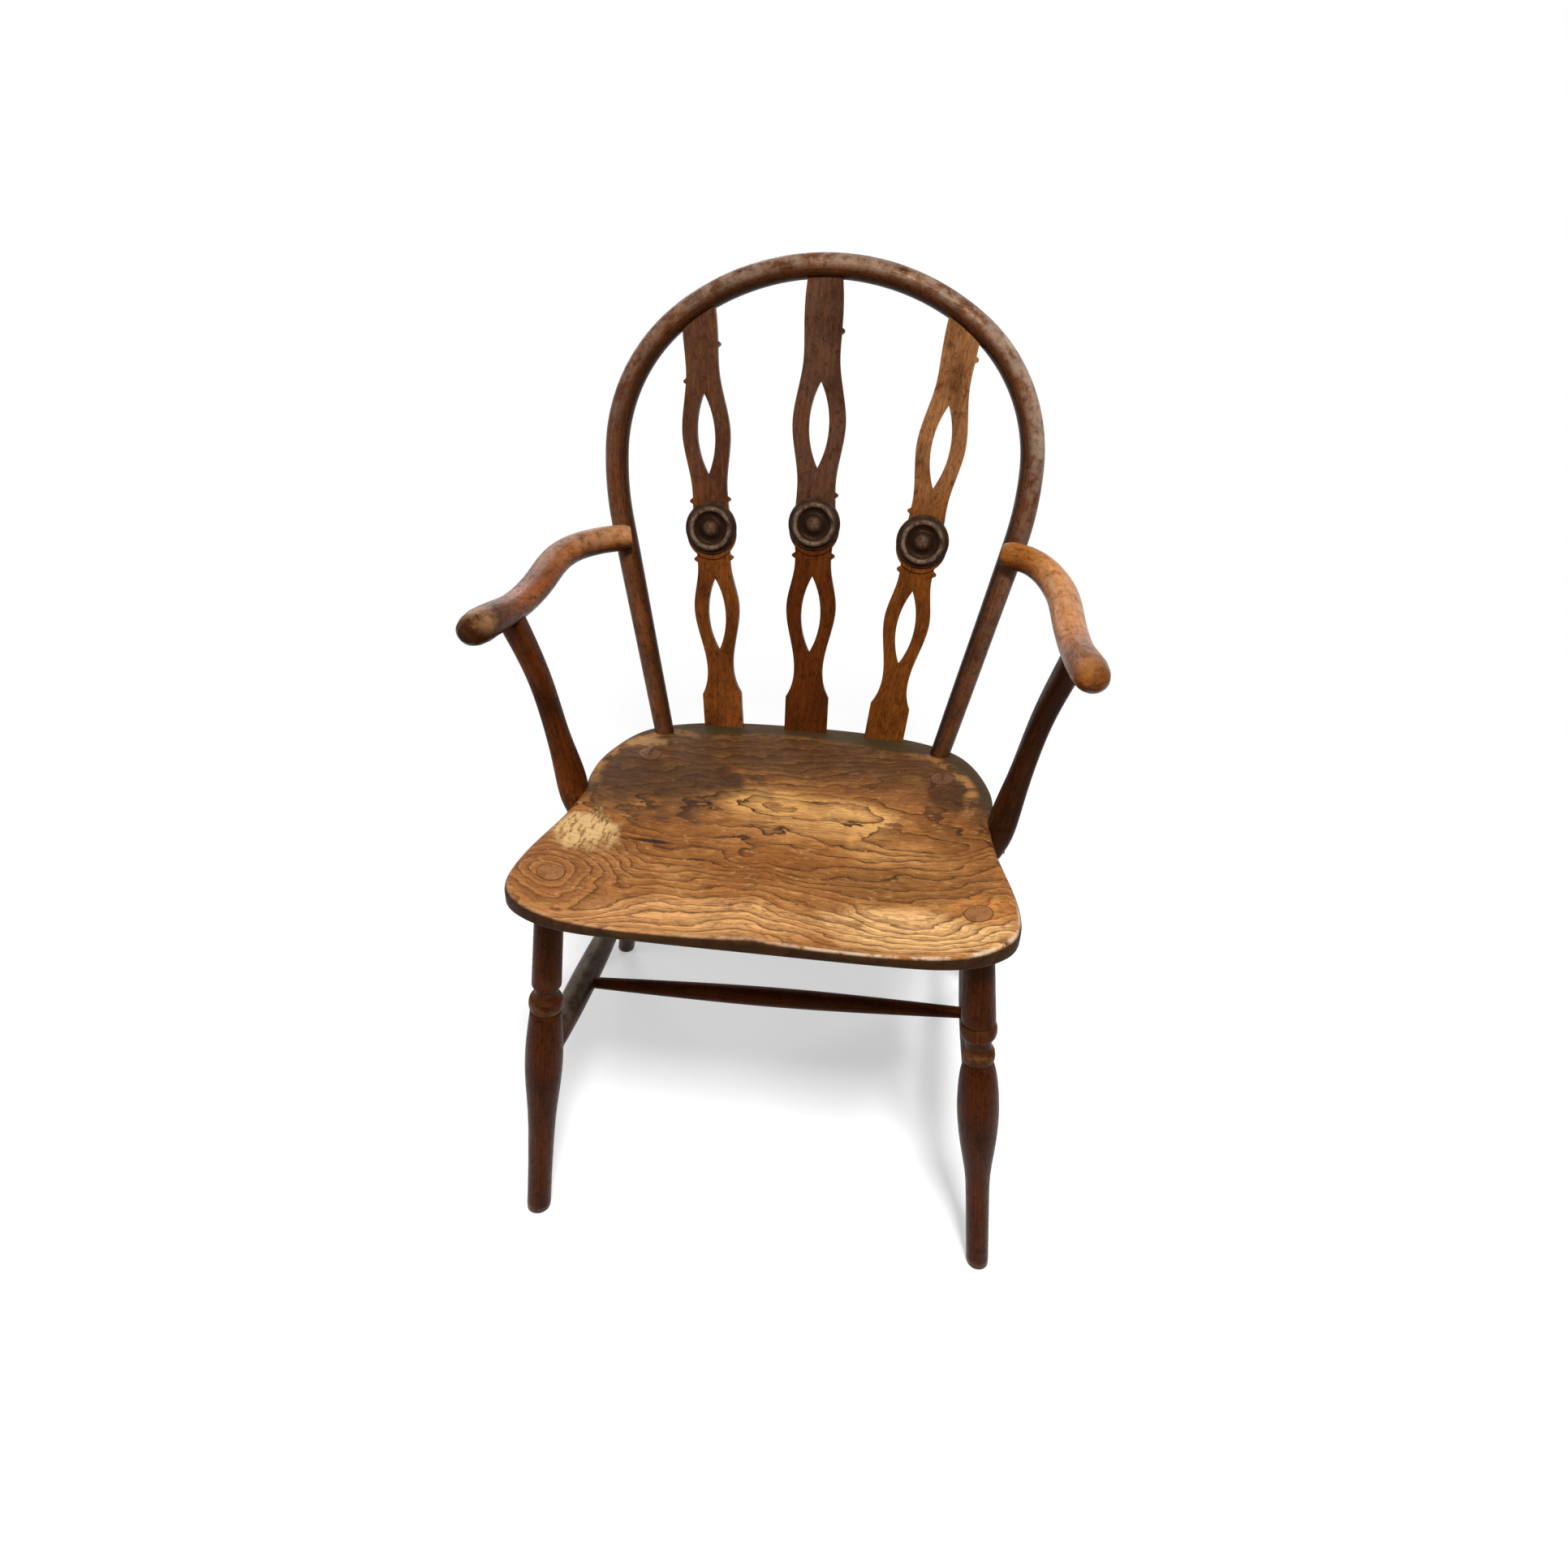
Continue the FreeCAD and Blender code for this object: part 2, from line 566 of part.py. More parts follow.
def splat_board(scale, narrow, nibs):
    """The sawn board in its own frame: X across, Y through the thickness, Z up its axis."""
    right = splat_pattern(scale, narrow)
    base = right[0][0]
    edges = []
    for side in (1, -1):
        edges.append(curve_through([(side * half, 0, up) for half, up in right]).toShape())
        edges.append(Part.makeLine(V(side * base, 0, right[0][1]), V(side * base, 0, -SPLAT_MORTISE)))
    head = right[-1]
    edges.append(Part.makeLine(V(-head[0], 0, head[1]), V(head[0], 0, head[1])))
    edges.append(Part.makeLine(V(-base, 0, -SPLAT_MORTISE), V(base, 0, -SPLAT_MORTISE)))
    outline = Part.Wire(Part.__sortEdges__(edges))
    board = Part.Face(outline).extrude(V(0, SPLAT_THICK, 0))
    spurs = []
    for side, half, up in nibs:
        x = side * (half * narrow - NIB_HALF)
        tip = side * (half * narrow + NIB_REACH)
        z = up * scale
        corner = Part.makePolygon([V(x, 0, z - 2 * NIB_HALF), V(tip, 0, z - NIB_TIP_HALF),
                                   V(tip, 0, z + NIB_TIP_HALF), V(x, 0, z + 2 * NIB_HALF),
                                   V(x, 0, z - 2 * NIB_HALF)])
        spurs.append(Part.Face(corner).extrude(V(0, SPLAT_THICK, 0)))
    board = board.fuse(spurs)
    board.translate(V(0, -SPLAT_THICK / 2, 0))
    for low, high in (LOWER_LENS, UPPER_LENS):
        piercing = lens(low * scale, high * scale, LENS_HALF * narrow)
        piercing.translate(V(0, -SPLAT_THICK, 0))
        board = board.cut(piercing)
    scallop = Part.makeCylinder(SCALLOP_R, SCALLOP_THICK + 1,
                                V(0, -SPLAT_THICK / 2 + 1, ROUNDEL_UP * scale - SCALLOP_DROP),
                                V(0, -1, 0))
    return board.fuse(scallop).removeSplitter()


def splat_nibs(missing=()):
    """Spurs beside the roundel and on the shank; some have broken off."""
    spots = {
        "below_left": (-1, SPLAT_NECK_HALF, ROUNDEL_UP - NIB_LOWER_DROP),
        "below_right": (1, SPLAT_NECK_HALF, ROUNDEL_UP - NIB_LOWER_DROP),
        "above_left": (-1, SPLAT_UPPER_NECK_HALF, ROUNDEL_UP + NIB_UPPER_RISE),
        "above_right": (1, SPLAT_UPPER_NECK_HALF, ROUNDEL_UP + NIB_UPPER_RISE),
        "shank_right": (1, SPLAT_SHANK_HALF, NIB_SHANK_RIGHT_UP),
        "shank_left": (-1, SPLAT_SHANK_HALF, NIB_SHANK_LEFT_UP),
    }
    return [spot for name, spot in spots.items() if name not in missing]


def splat_frame(foot, head):
    up = unit(head - foot)
    across = unit(X_AXIS - up * X_AXIS.dot(up))
    return foot, across, up.cross(across), up


def roundel():
    """Turned boss along Z: flange, raised ring, cove and centre button."""
    ring_in = ROUNDEL_RING_R - ROUNDEL_RING_HALF
    ring_out = ROUNDEL_RING_R + ROUNDEL_RING_HALF
    rim = ROUNDEL_R - ROUNDEL_RIM_ROUND
    shelf = ROUNDEL_FLANGE + ROUNDEL_SHELF_RISE
    button = ROUNDEL_COVE + ROUNDEL_COVE_RISE
    return spun([
        line((0, 0), (rim, 0)),
        curve([(rim, 0), (ROUNDEL_R, ROUNDEL_FLANGE / 2), (rim, ROUNDEL_FLANGE)]),
        line((rim, ROUNDEL_FLANGE), (ring_out, shelf)),
        curve([(ring_out, shelf), (ROUNDEL_RING_R, ROUNDEL_HEIGHT), (ring_in, ROUNDEL_COVE)]),
        curve([(ring_in, ROUNDEL_COVE),
               ((ring_in + ROUNDEL_BUTTON_R) / 2, ROUNDEL_COVE - ROUNDEL_COVE_SINK),
               (ROUNDEL_BUTTON_R, button)]),
        dome(ROUNDEL_BUTTON_R, button, ROUNDEL_HEIGHT),
    ])


# Arms and posts

def oval(centre, along, wide, tall):
    """Section across a direction that lies nearly level, its taller axis upright."""
    across = unit(along.cross(Z_AXIS))
    up = unit(across.cross(along))
    major, minor, axis = (wide, tall, across) if wide >= tall else (tall, wide, up)
    other = unit(along).cross(axis)
    ellipse = Part.Ellipse(centre + axis * (major / 2), centre + other * (minor / 2), centre)
    return Part.Wire(ellipse.toShape())


def bow_at(height):
    """Centre of the bow's right leg at a height above the floor."""
    up = (height - BOW_ORIGIN.z) / BOW_UP.z
    return on_bow(BOW_FOOT_HALF + up / math.tan(BOW_LEG_SLOPE), up)


def skin_along(path, stations, wide, tall, section):
    """Ruled skin over sections square to a path, whose sizes run evenly from station to station."""
    length = path.length()
    sections = []
    places = [stations[0]]
    for before, after in zip(stations, stations[1:]):
        for step in range(1, STATION_STEPS + 1):
            way = step / STATION_STEPS
            places.append(tuple(a + (b - a) * way for a, b in zip(before, after)))
    for share, wide_share, tall_share in places:
        t = path.parameterAtDistance(length * share, path.FirstParameter)
        along = V(*path.tangent(t)[0])
        sections.append(section(path.value(t), along, wide * wide_share, tall * tall_share))
    return Part.makeLoft(sections, True, True)


def arm_solid(back_up):
    """Right arm: housed on the bow, out round the elbow and forward to the hand."""
    bow = bow_at(back_up)
    lap_y = bow.y - BOW_R + ARM_LAP - ARM_WIDE / 2
    back = (bow.x - BOW_R + ARM_BACK_GAP, lap_y + ARM_BACK_TURN, back_up)
    past_bow = (bow.x + BOW_R, lap_y - ARM_PAST_BOW, back_up - ARM_BACK_FALL)
    path = curve_through([back, past_bow, ARM_ELBOW, ARM_MIDDLE, ARM_OVER_POST, ARM_HAND, ARM_TIP])
    return skin_along(path, ARM_STATIONS, ARM_WIDE, ARM_TALL, oval)


def soft_rectangle(centre, along, wide, thick):
    """Rounded rectangle across the post: wide runs front to back, thick runs sideways."""
    along = unit(along)
    side = unit(X_AXIS - along * X_AXIS.dot(along))
    front = along.cross(side)
    r = CORNER_R
    a, b = thick / 2, wide / 2
    corners = [(a, b), (-a, b), (-a, -b), (a, -b)]
    edges = []
    ends = []
    for x, y in corners:
        sx, sy = math.copysign(1, x), math.copysign(1, y)
        start, finish = (x, y - sy * r), (x - sx * r, y)
        if sx * sy < 0:
            start, finish = finish, start
        middle = (x - sx * r * (1 - math.sqrt(0.5)), y - sy * r * (1 - math.sqrt(0.5)))
        place = [centre + side * p[0] + front * p[1] for p in (start, middle, finish)]
        edges.append(Part.Arc(*place).toShape())
        ends.append((place[0], place[2]))
    for i, (_, finish) in enumerate(ends):
        edges.append(Part.makeLine(finish, ends[(i + 1) % 4][0]))
    return Part.Wire(Part.__sortEdges__(edges))


def post_axis():
    """Right post's centre line, from inside the arm to the seat's underside."""
    foot_x = SEAT_WAIST_HALF - POST_HOUSED + POST_FOOT_THICK / 2
    foot = on_seat(foot_x - POST_TOE_IN, POST_FOOT_BACK, -SEAT_THICK + POST_SHORT)
    low = on_seat(foot_x, POST_FOOT_BACK - 1, 2)
    top = V(POST_TOP[0], POST_TOP[1], ARM_OVER_POST[2] - ARM_TALL / 4)
    return [foot, low, V(*POST_LOW), V(*POST_BEND), top]


def post_solid():
    points = post_axis()
    path = curve_through([tuple(p) for p in points])
    foot_wide = POST_FOOT_WIDE / POST_WIDE
    foot_thick = POST_FOOT_THICK / POST_THICK
    stations = [(share, wide * foot_wide, thick * foot_thick) for share, wide, thick in POST_FOOT_STATIONS]
    return skin_along(path, stations + list(POST_STATIONS), POST_WIDE, POST_THICK, soft_rectangle)


def screw_blank(length):
    """Countersunk screw along Z with its head at the start, also used to cut its hole."""
    points = [(0, 0), (SCREW_HEAD_R, 0), (SCREW_SHANK_R, SCREW_HEAD_HEIGHT),
              (SCREW_SHANK_R, length - SCREW_TIP), (0, length)]
    return spun([line(*pair) for pair in zip(points, points[1:])])


def slotted(blank):
    half = SCREW_SLOT / 2
    return blank.cut(Part.makeBox(2 * SCREW_HEAD_R, SCREW_SLOT, SCREW_SLOT, V(-SCREW_HEAD_R, -half, 0)))


def first_hit(solid, start, direction):
    """Where a line first enters a solid."""
    line = Part.makeLine(start, start + direction * SPARE)
    hits = solid.common(line).Vertexes
    return min((v.Point for v in hits), key=lambda p: (p - start).Length)


# Build every piece in place

parts = {}
air = air_over_seat()
blank = seat_blank()
plank = blank.cut(air)
under_seat = in_seat_frame(Part.makeBox(2 * SPARE, 2 * SPARE, SPARE, V(-SPARE, -SPARE, -SPARE - SEAT_THICK)))
over_under = in_seat_frame(Part.makeBox(2 * SPARE, 2 * SPARE, SPARE, V(-SPARE, -SPARE, -SEAT_THICK)))
below_top = in_seat_frame(Part.makeBox(2 * SPARE, 2 * SPARE, SPARE, V(-SPARE, -SPARE, -SPARE)))
floor_cut = Part.makeBox(3 * SPARE, 3 * SPARE, SPARE, V(-1.5 * SPARE, -1.5 * SPARE, -SPARE))

leg_kinds = {
    "front_leg_left": (FRONT_FOOT, FRONT_TENON, -1, one_bead_leg),
    "front_leg_right": (FRONT_FOOT, FRONT_TENON, 1, two_bead_leg),
    "rear_leg_left": (REAR_FOOT, REAR_TENON, -1, two_bead_leg),
    "rear_leg_right": (REAR_FOOT, REAR_TENON, 1, two_bead_leg),
}
turnings = {}
leg_wedges = []
for name, (foot, tenon, side, pattern) in leg_kinds.items():
    low, high = leg_line(foot, tenon, side)
    direction = unit(high - low)
    body = along_axis(pattern((high - low).Length), low, high).cut(floor_cut).cut(over_under)
    start = leg_point(foot, tenon, side, high.z - 1.6 * SEAT_THICK)
    dowel = Part.makeCylinder(LEG_TENON_R, 2.2 * SEAT_THICK, start, direction).cut(air)
    plank = plank.cut(dowel)
    turnings[name] = (body.fuse(dowel).removeSplitter(), low, high)
    top = first_hit(dowel, high + direction * SEAT_THICK, direction * -1)
    leg_wedges.append(wedge(top + direction * 2, direction, LEG_TENON_R).cut(air))

stretcher_ends = {}
for side, word in ((-1, "left"), (1, "right")):
    start = leg_point(FRONT_FOOT, FRONT_TENON, side, SIDE_STRETCHER_FRONT_UP)
    end = leg_point(REAR_FOOT, REAR_TENON, side, SIDE_STRETCHER_REAR_UP)
    stretcher_ends[word] = (start, end)
    rod = swelling_rod(start, end, SIDE_STRETCHER_FRONT_R, SIDE_STRETCHER_MIDDLE_R,
                       SIDE_STRETCHER_REAR_R, SIDE_SWELL_ALONG)
    dowel = tenon_rod(start, end, SIDE_TENON_R, SIDE_TENON_REACH)
    for leg in ("front_leg_" + word, "rear_leg_" + word):
        turned, low, high = turnings[leg]
        rod = rod.cut(turned)
        turnings[leg] = (turned.cut(dowel), low, high)
    parts["side_stretcher_" + word] = rod.fuse(dowel).removeSplitter()

cross_ends = [start + (end - start) * CROSS_ALONG[word] for word, (start, end) in stretcher_ends.items()]
cross_rod = swelling_rod(cross_ends[0], cross_ends[1], CROSS_END_R, CROSS_MIDDLE_R, CROSS_END_R, 0.5)
cross_dowel = tenon_rod(cross_ends[0], cross_ends[1], CROSS_TENON_R, CROSS_TENON_REACH)
for word in stretcher_ends:
    rail = parts["side_stretcher_" + word]
    cross_rod = cross_rod.cut(rail)
    parts["side_stretcher_" + word] = rail.cut(cross_dowel)
parts["cross_stretcher"] = cross_rod.fuse(cross_dowel).removeSplitter()

wedge_set = Part.makeCompound(leg_wedges)
for name, (turned, _, _) in turnings.items():
    parts[name] = turned.cut(wedge_set)
parts["leg_wedges"] = wedge_set

rod = bow_rod().cut(below_top)
bow_wedges = []
for side in (-1, 1):
    foot = on_bow(side * BOW_FOOT_HALF, 0)
    knee = on_bow(side * BOW_KNEE_HALF, BOW_KNEE_UP)
    direction = unit(foot - knee)
    reach = 1.6 * SEAT_THICK
    dowel = Part.makeCylinder(BOW_TENON_R, reach + SEAT_THICK, foot - direction * SEAT_THICK, direction)
    dowel = dowel.cut(under_seat)
    plank = plank.cut(dowel.common(below_top))
    rod = rod.fuse(dowel)
    low_end = first_hit(dowel, foot + direction * 2 * SEAT_THICK, direction * -1)
    bow_wedges.append(wedge(low_end + direction * 2, direction, BOW_TENON_R).cut(under_seat))
wedge_set = Part.makeCompound(bow_wedges)
rod = rod.removeSplitter().cut(wedge_set)
parts["bow_wedges"] = wedge_set

slab = inside_bow()
heads = {
    "left": (on_seat(-SIDE_SPLAT_FOOT, SIDE_SPLAT_BACK), on_bow(-SIDE_SPLAT_HEAD, SIDE_SPLAT_HEAD_UP),
             SIDE_SPLAT_SCALE, SIDE_SPLAT_NARROW, splat_nibs()),
    "centre": (on_seat(CENTRE_SPLAT_FOOT, CENTRE_SPLAT_BACK), on_bow(CENTRE_SPLAT_HEAD, BOW_TOP_UP),
               1.0, 1.0, splat_nibs(("above_left", "shank_left"))),
    "right": (on_seat(SIDE_SPLAT_FOOT, SIDE_SPLAT_BACK), on_bow(SIDE_SPLAT_HEAD, SIDE_SPLAT_HEAD_UP),
              SIDE_SPLAT_SCALE, SIDE_SPLAT_NARROW, splat_nibs(("shank_left", "above_right"))),
}
for word, (foot, head, scale, narrow, nibs) in heads.items():
    frame = splat_frame(foot, head)
    board = placed(splat_board(scale, narrow, nibs), *frame).common(slab)
    plank = plank.cut(board)
    rod = rod.cut(board)
    parts["splat_" + word] = board
    _, across, back, up = frame
    seat_of_boss = foot + up * (ROUNDEL_UP * scale) - back * (SPLAT_THICK / 2 + SCALLOP_THICK)
    boss = placed(roundel(), seat_of_boss, across, up, back * -1)
    parts["roundel_" + word] = boss

toward_front = V(0, -1, 0)
inward = V(-1, 0, 0)
tenon_top = V(POST_TOP[0], POST_TOP[1], ARM_OVER_POST[2])
tenon_aim = unit(tenon_top - V(*POST_BEND))
post_blank = post_solid()
arm_screws = []
post_screws = []
for side, word in ((-1, "left"), (1, "right")):
    right_rod = on_side(rod, side)
    arm = arm_solid(ARM_BACK_UP[word]).cut(right_rod)
    post = post_blank.cut(arm)
    shoulder = first_hit(arm, V(*POST_BEND), tenon_aim)
    tenon = Part.makeCylinder(POST_TENON_R, POST_TENON_LENGTH + POST_WIDE / 2,
                              shoulder - tenon_aim * (POST_WIDE / 2), tenon_aim)
    arm = arm.cut(tenon)
    post = post.fuse(tenon).removeSplitter()
    lap = bow_at(ARM_BACK_UP[word])
    head = first_hit(right_rod, lap - toward_front * (SPARE / 2), toward_front) - toward_front * SCREW_PROUD
    blank = screw_blank(ARM_SCREW_LENGTH)
    arm_hole = along_axis(blank, head, head + toward_front)
    arm_screws.append(on_side(along_axis(slotted(blank), head, head + toward_front), side))
    blank = screw_blank(POST_SCREW_LENGTH)
    holes = []
    for offset in (-POST_SCREW_SPREAD, POST_SCREW_SPREAD):
        level = on_seat(SEAT_WAIST_HALF, POST_FOOT_BACK + offset * POST_SCREW_SLANT, -SEAT_THICK / 2 + offset)
        head = first_hit(post, level - inward * (SPARE / 2), inward) - inward * SCREW_PROUD
        holes.append(along_axis(blank, head, head + inward))
        post_screws.append(on_side(along_axis(slotted(blank), head, head + inward), side))
    parts["arm_" + word] = on_side(arm.cut(arm_hole), side)
    parts["arm_post_" + word] = on_side(post.cut(holes), side)
    plank = plank.cut([on_side(shape, side) for shape in [post] + holes])
    rod = rod.cut(on_side(arm_hole, side))
parts["arm_screws"] = Part.makeCompound(arm_screws)
parts["post_screws"] = Part.makeCompound(post_screws)
parts["bow"] = rod
parts["seat"] = plank

# Move the origin under the middle of the whole chair and write one file per piece

whole = Part.makeCompound(list(parts.values())).optimalBoundingBox()
shift = V(-(whole.XMin + whole.XMax) / 2, -(whole.YMin + whole.YMax) / 2, 0)
os.makedirs("parts", exist_ok=True)
for name, shape in parts.items():
    moved = shape.copy()
    moved.translate(shift)
    moved.exportStep("parts/" + name + ".step")
print("pieces", len(parts), "size", whole.XLength, whole.YLength, whole.ZLength)
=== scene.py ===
# %% [markdown]
# # A roundel-back Windsor armchair
#
# The CAD model is the fixed frame of this lesson. Each cell dresses one part of the chair: the seat,
# the turned legs, the bent bow, the splats with their roundels, and the arms. Every new piece is a
# surface worked out as whole numpy arrays, and it stands exactly where its CAD node stands.

# %% Load the frame
import math

import bpy
import numpy as np
from mathutils import Matrix, Vector


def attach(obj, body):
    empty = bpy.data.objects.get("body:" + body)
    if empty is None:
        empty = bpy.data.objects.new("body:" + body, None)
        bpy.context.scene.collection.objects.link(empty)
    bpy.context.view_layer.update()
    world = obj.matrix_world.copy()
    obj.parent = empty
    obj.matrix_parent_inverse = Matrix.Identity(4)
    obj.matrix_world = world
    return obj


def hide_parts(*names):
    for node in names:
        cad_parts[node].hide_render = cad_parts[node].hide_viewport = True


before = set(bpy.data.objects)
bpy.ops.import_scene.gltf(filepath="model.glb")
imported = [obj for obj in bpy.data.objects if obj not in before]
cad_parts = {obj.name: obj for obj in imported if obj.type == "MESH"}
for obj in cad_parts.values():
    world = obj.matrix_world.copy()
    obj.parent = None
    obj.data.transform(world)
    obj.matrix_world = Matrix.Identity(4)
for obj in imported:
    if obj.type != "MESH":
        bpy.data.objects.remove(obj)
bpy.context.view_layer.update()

MM = 0.001
print("nodes", sorted(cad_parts))

# %% [markdown]
# ## Where things are
#
# The seat slopes back by a few degrees, so it has a frame of its own. A point on the seat is given as
# across, back and up in millimetres, and one function turns it into the CAD source's frame. All other
# sizes repeat the CAD source's named values, because this lesson reads no other file.

# %% Seat frame
TO_CENTRE = (0.37, -62.27, 0.0)     # how far the CAD source moves everything to centre the chair
SEAT_FALL = math.radians(4.5)
SEAT_FRONT_HEIGHT = 446.0
SEAT_FRONT, SEAT_REAR = 209.5, 214.0
SEAT_THICK = 35.0
SEAT_MIDDLE_UP = SEAT_FRONT_HEIGHT - SEAT_FRONT * math.sin(SEAT_FALL)


def room(points):
    """Millimetres in the CAD source's frame to metres in the room: shift back, then scale."""
    return (np.asarray(points, float) + np.array(TO_CENTRE)) * MM


def on_seat(x, y, up):
    """Seat point to source frame: turn (y, up) by the seat's fall about X, then lift."""
    x, y, up = np.broadcast_arrays(np.asarray(x, float), np.asarray(y, float), np.asarray(up, float))
    back = y * math.cos(SEAT_FALL) + up * math.sin(SEAT_FALL)
    height = SEAT_MIDDLE_UP - y * math.sin(SEAT_FALL) + up * math.cos(SEAT_FALL)
    return np.stack([x, back, height], axis=-1)


print("seat middle in the room", room(on_seat(0, 0, 0)).round(4))

# %% [markdown]
# ## Camera
#
# The viewpoint was solved from the object's symmetric outline: it stands in front, a little to the
# right, and looks down at about thirty degrees through a wide lens. Blender's camera looks along its
# own -Z, so the matrix columns are image right, image up and the reversed line of sight.

# %% Camera
CAMERA_AT = (93.4, -839.05, 959.85)
YAW, PITCH, ROLL = (math.radians(a) for a in (-6.2602, 30.638, -1.815))
LENS_PIXELS = 1291.6
FRAME_PIXELS = 1932
SENSOR = 36.0

sight = Vector((math.sin(YAW) * math.cos(PITCH), math.cos(YAW) * math.cos(PITCH), -math.sin(PITCH)))
level_right = Vector((math.cos(YAW), -math.sin(YAW), 0.0))
level_down = sight.cross(level_right)
image_right = level_right * math.cos(ROLL) + level_down * math.sin(ROLL)
image_down = level_down * math.cos(ROLL) - level_right * math.sin(ROLL)

camera_data = bpy.data.cameras.new("photo_view")
camera_data.sensor_width = SENSOR
camera_data.lens = SENSOR * LENS_PIXELS / FRAME_PIXELS
camera = bpy.data.objects.new("photo_view", camera_data)
turn = Matrix((image_right, -image_down, -sight)).transposed().to_4x4()
camera.matrix_world = Matrix.Translation(Vector(room(CAMERA_AT))) @ turn
bpy.context.scene.collection.objects.link(camera)
bpy.context.scene.camera = camera
bpy.context.scene.view_settings.view_transform = "Standard"
print("camera lens in mm", round(camera_data.lens, 2))

# %% [markdown]
# ## Words for shader nodes
#
# A finish in Blender is a graph of small nodes. Two short classes keep that graph readable. One makes
# nodes, and the other lets a node's output be added and multiplied as a number is, so that a formula
# in this text is the same formula in the finish.

# %% Shader words
WARM_GLOSS = (1.0, 0.66, 0.42, 1)   # waxed dark wood mirrors a white room as brown, not as grey
BUMP_STRENGTH = 0.7


class Amount:
    """A node's output as a term of a formula: each sign makes one Math node."""

    def __init__(self, nodes, socket):
        self.nodes, self.socket = nodes, socket

    def __add__(self, other):
        return self.nodes.math("ADD", self, other)

    def __sub__(self, other):
        return self.nodes.math("SUBTRACT", self, other)

    def __rsub__(self, other):
        return self.nodes.math("SUBTRACT", other, self)

    def __mul__(self, other):
        return self.nodes.math("MULTIPLY", self, other)

    def __truediv__(self, other):
        return self.nodes.math("DIVIDE", self, other)


class Nodes:
    """Short words for the few node types that the finishes use."""

    def __init__(self, owner):
        owner.use_nodes = True
        self.tree = owner.node_tree
        self.tree.nodes.clear()

    def made(self, kind, inputs, output=0, **settings):
        """New node: its settings first, then each input as a number or as a link."""
        node = self.tree.nodes.new("ShaderNode" + kind)
        for key, value in settings.items():
            setattr(node, key, value)
        for key, value in inputs.items():
            if isinstance(value, Amount):
                self.tree.links.new(value.socket, node.inputs[key])
            elif value is not None:
                node.inputs[key].default_value = value
        return Amount(self, node.outputs[output])

    def math(self, operation, a, b=None):
        return self.made("Math", {0: a, 1: b}, operation=operation)

    def vector(self, operation, a, b=None, scale=None):
        output = "Value" if operation in ("LENGTH", "DOT_PRODUCT") else "Vector"
        return self.made("VectorMath", {0: a, 1: b, "Scale": scale}, output, operation=operation)

    def noise(self, place, scale, detail=3.0, rough=0.55, distortion=0.0, output="Fac"):
        """Fractal noise, about 0 to 1: scale is how many cells fit in a metre."""
        return self.made("TexNoise", {"Vector": place, "Scale": scale, "Detail": detail,
                                      "Roughness": rough, "Distortion": distortion}, output)

    def span(self, value, low, high, to_low=0.0, to_high=1.0):
        """Smooth step from to_low, where the value is low, to to_high, where it is high."""
        return self.made("MapRange", {"Value": value, "From Min": low, "From Max": high,
                                      "To Min": to_low, "To Max": to_high},
                         "Result", interpolation_type="SMOOTHSTEP")

    def blend(self, amount, a, b, how="MIX"):
        """Colour a where the amount is 0 and b where it is 1, or a multiplied by b."""
        return self.made("Mix", {"Factor": amount, "A": a, "B": b}, "Result",
                         data_type="RGBA", blend_type=how)

    def layers(self, body, *layers):
        """Lay colours over a body one after another, each by its own amount."""
        for amount, colour in layers:
            body = self.blend(amount, body, colour)
        return body

    def stored(self, name, output="Fac"):
        """Value that a mesh keeps at its vertices under this name."""
        return self.made("Attribute", {}, output, attribute_name=name)

    def on_object(self, output="Object"):
        return self.made("TexCoord", {}, output)

    def part(self, vector, axis):
        """One coordinate of a vector."""
        return self.made("SeparateXYZ", {0: vector}, axis)

    def turned(self, place, at=(0, 0, 0), angles=(0, 0, 0), scale=(1, 1, 1)):
        """Scale the coordinates, turn them, then shift them."""
        return self.made("Mapping", {"Vector": place, "Location": at, "Rotation": angles, "Scale": scale})

    def show(self, shader, output="OutputMaterial"):
        """Make this shader the surface of the material or of the world."""
        self.tree.links.new(shader.socket, self.tree.nodes.new("ShaderNode" + output).inputs[0])

    def finish(self, colour, rough, height, depth, gloss=0.06, metal=0.0):
        """Principled shader on a surface that rises by the depth, in metres, where the height is 1."""
        bump = self.made("Bump", {"Strength": BUMP_STRENGTH, "Distance": depth, "Height": height})
        self.show(self.made("BsdfPrincipled", {
            "Base Color": colour, "Roughness": rough, "Specular IOR Level": gloss,
            "Specular Tint": WARM_GLOSS, "Metallic": metal, "Normal": bump}))


def rgb(red, green, blue):
    """Display colour 0 to 255 as the linear colour that a shader wants."""
    return tuple(c / 255 / 12.92 if c <= 10 else ((c / 255 + 0.055) / 1.055) ** 2.4
                 for c in (red, green, blue)) + (1,)


def deep(colour, share=0.35):
    """The same colour with only a share of its light."""
    return tuple(c * share for c in colour[:3]) + (1,)


print("middle grey in linear light", round(rgb(128, 128, 128)[0], 3))

# %% [markdown]
# ## Floor and light
#
# A product picture wants an even white surround that still shows the contact shadow. The floor is
# diffuse and a little glow is added for camera rays only, so that the surround reads white while no
# extra light reaches the wood. Further out the floor fades into plain white.

# %% Floor
FLOOR_LIT, FLOOR_SEEN, FLOOR_GLOW = (0.6, 0.59, 0.58, 1), (0.8, 0.8, 0.8, 1), 0.32
FADE_FROM, FADE_TO = 0.45, 1.5      # metres from the chair's middle
FLOOR_HALF = 12.0


def by_camera(n, lit, seen):
    """One shader lights the object, and another shows to the camera, in gloss and through glass."""
    rays = [n.made("LightPath", {}, "Is %s Ray" % kind) for kind in ("Camera", "Glossy", "Transmission")]
    seen_ray = n.math("MAXIMUM", n.math("MAXIMUM", rays[0], rays[1]), rays[2])
    return n.made("MixShader", {0: seen_ray, 1: lit, 2: seen})


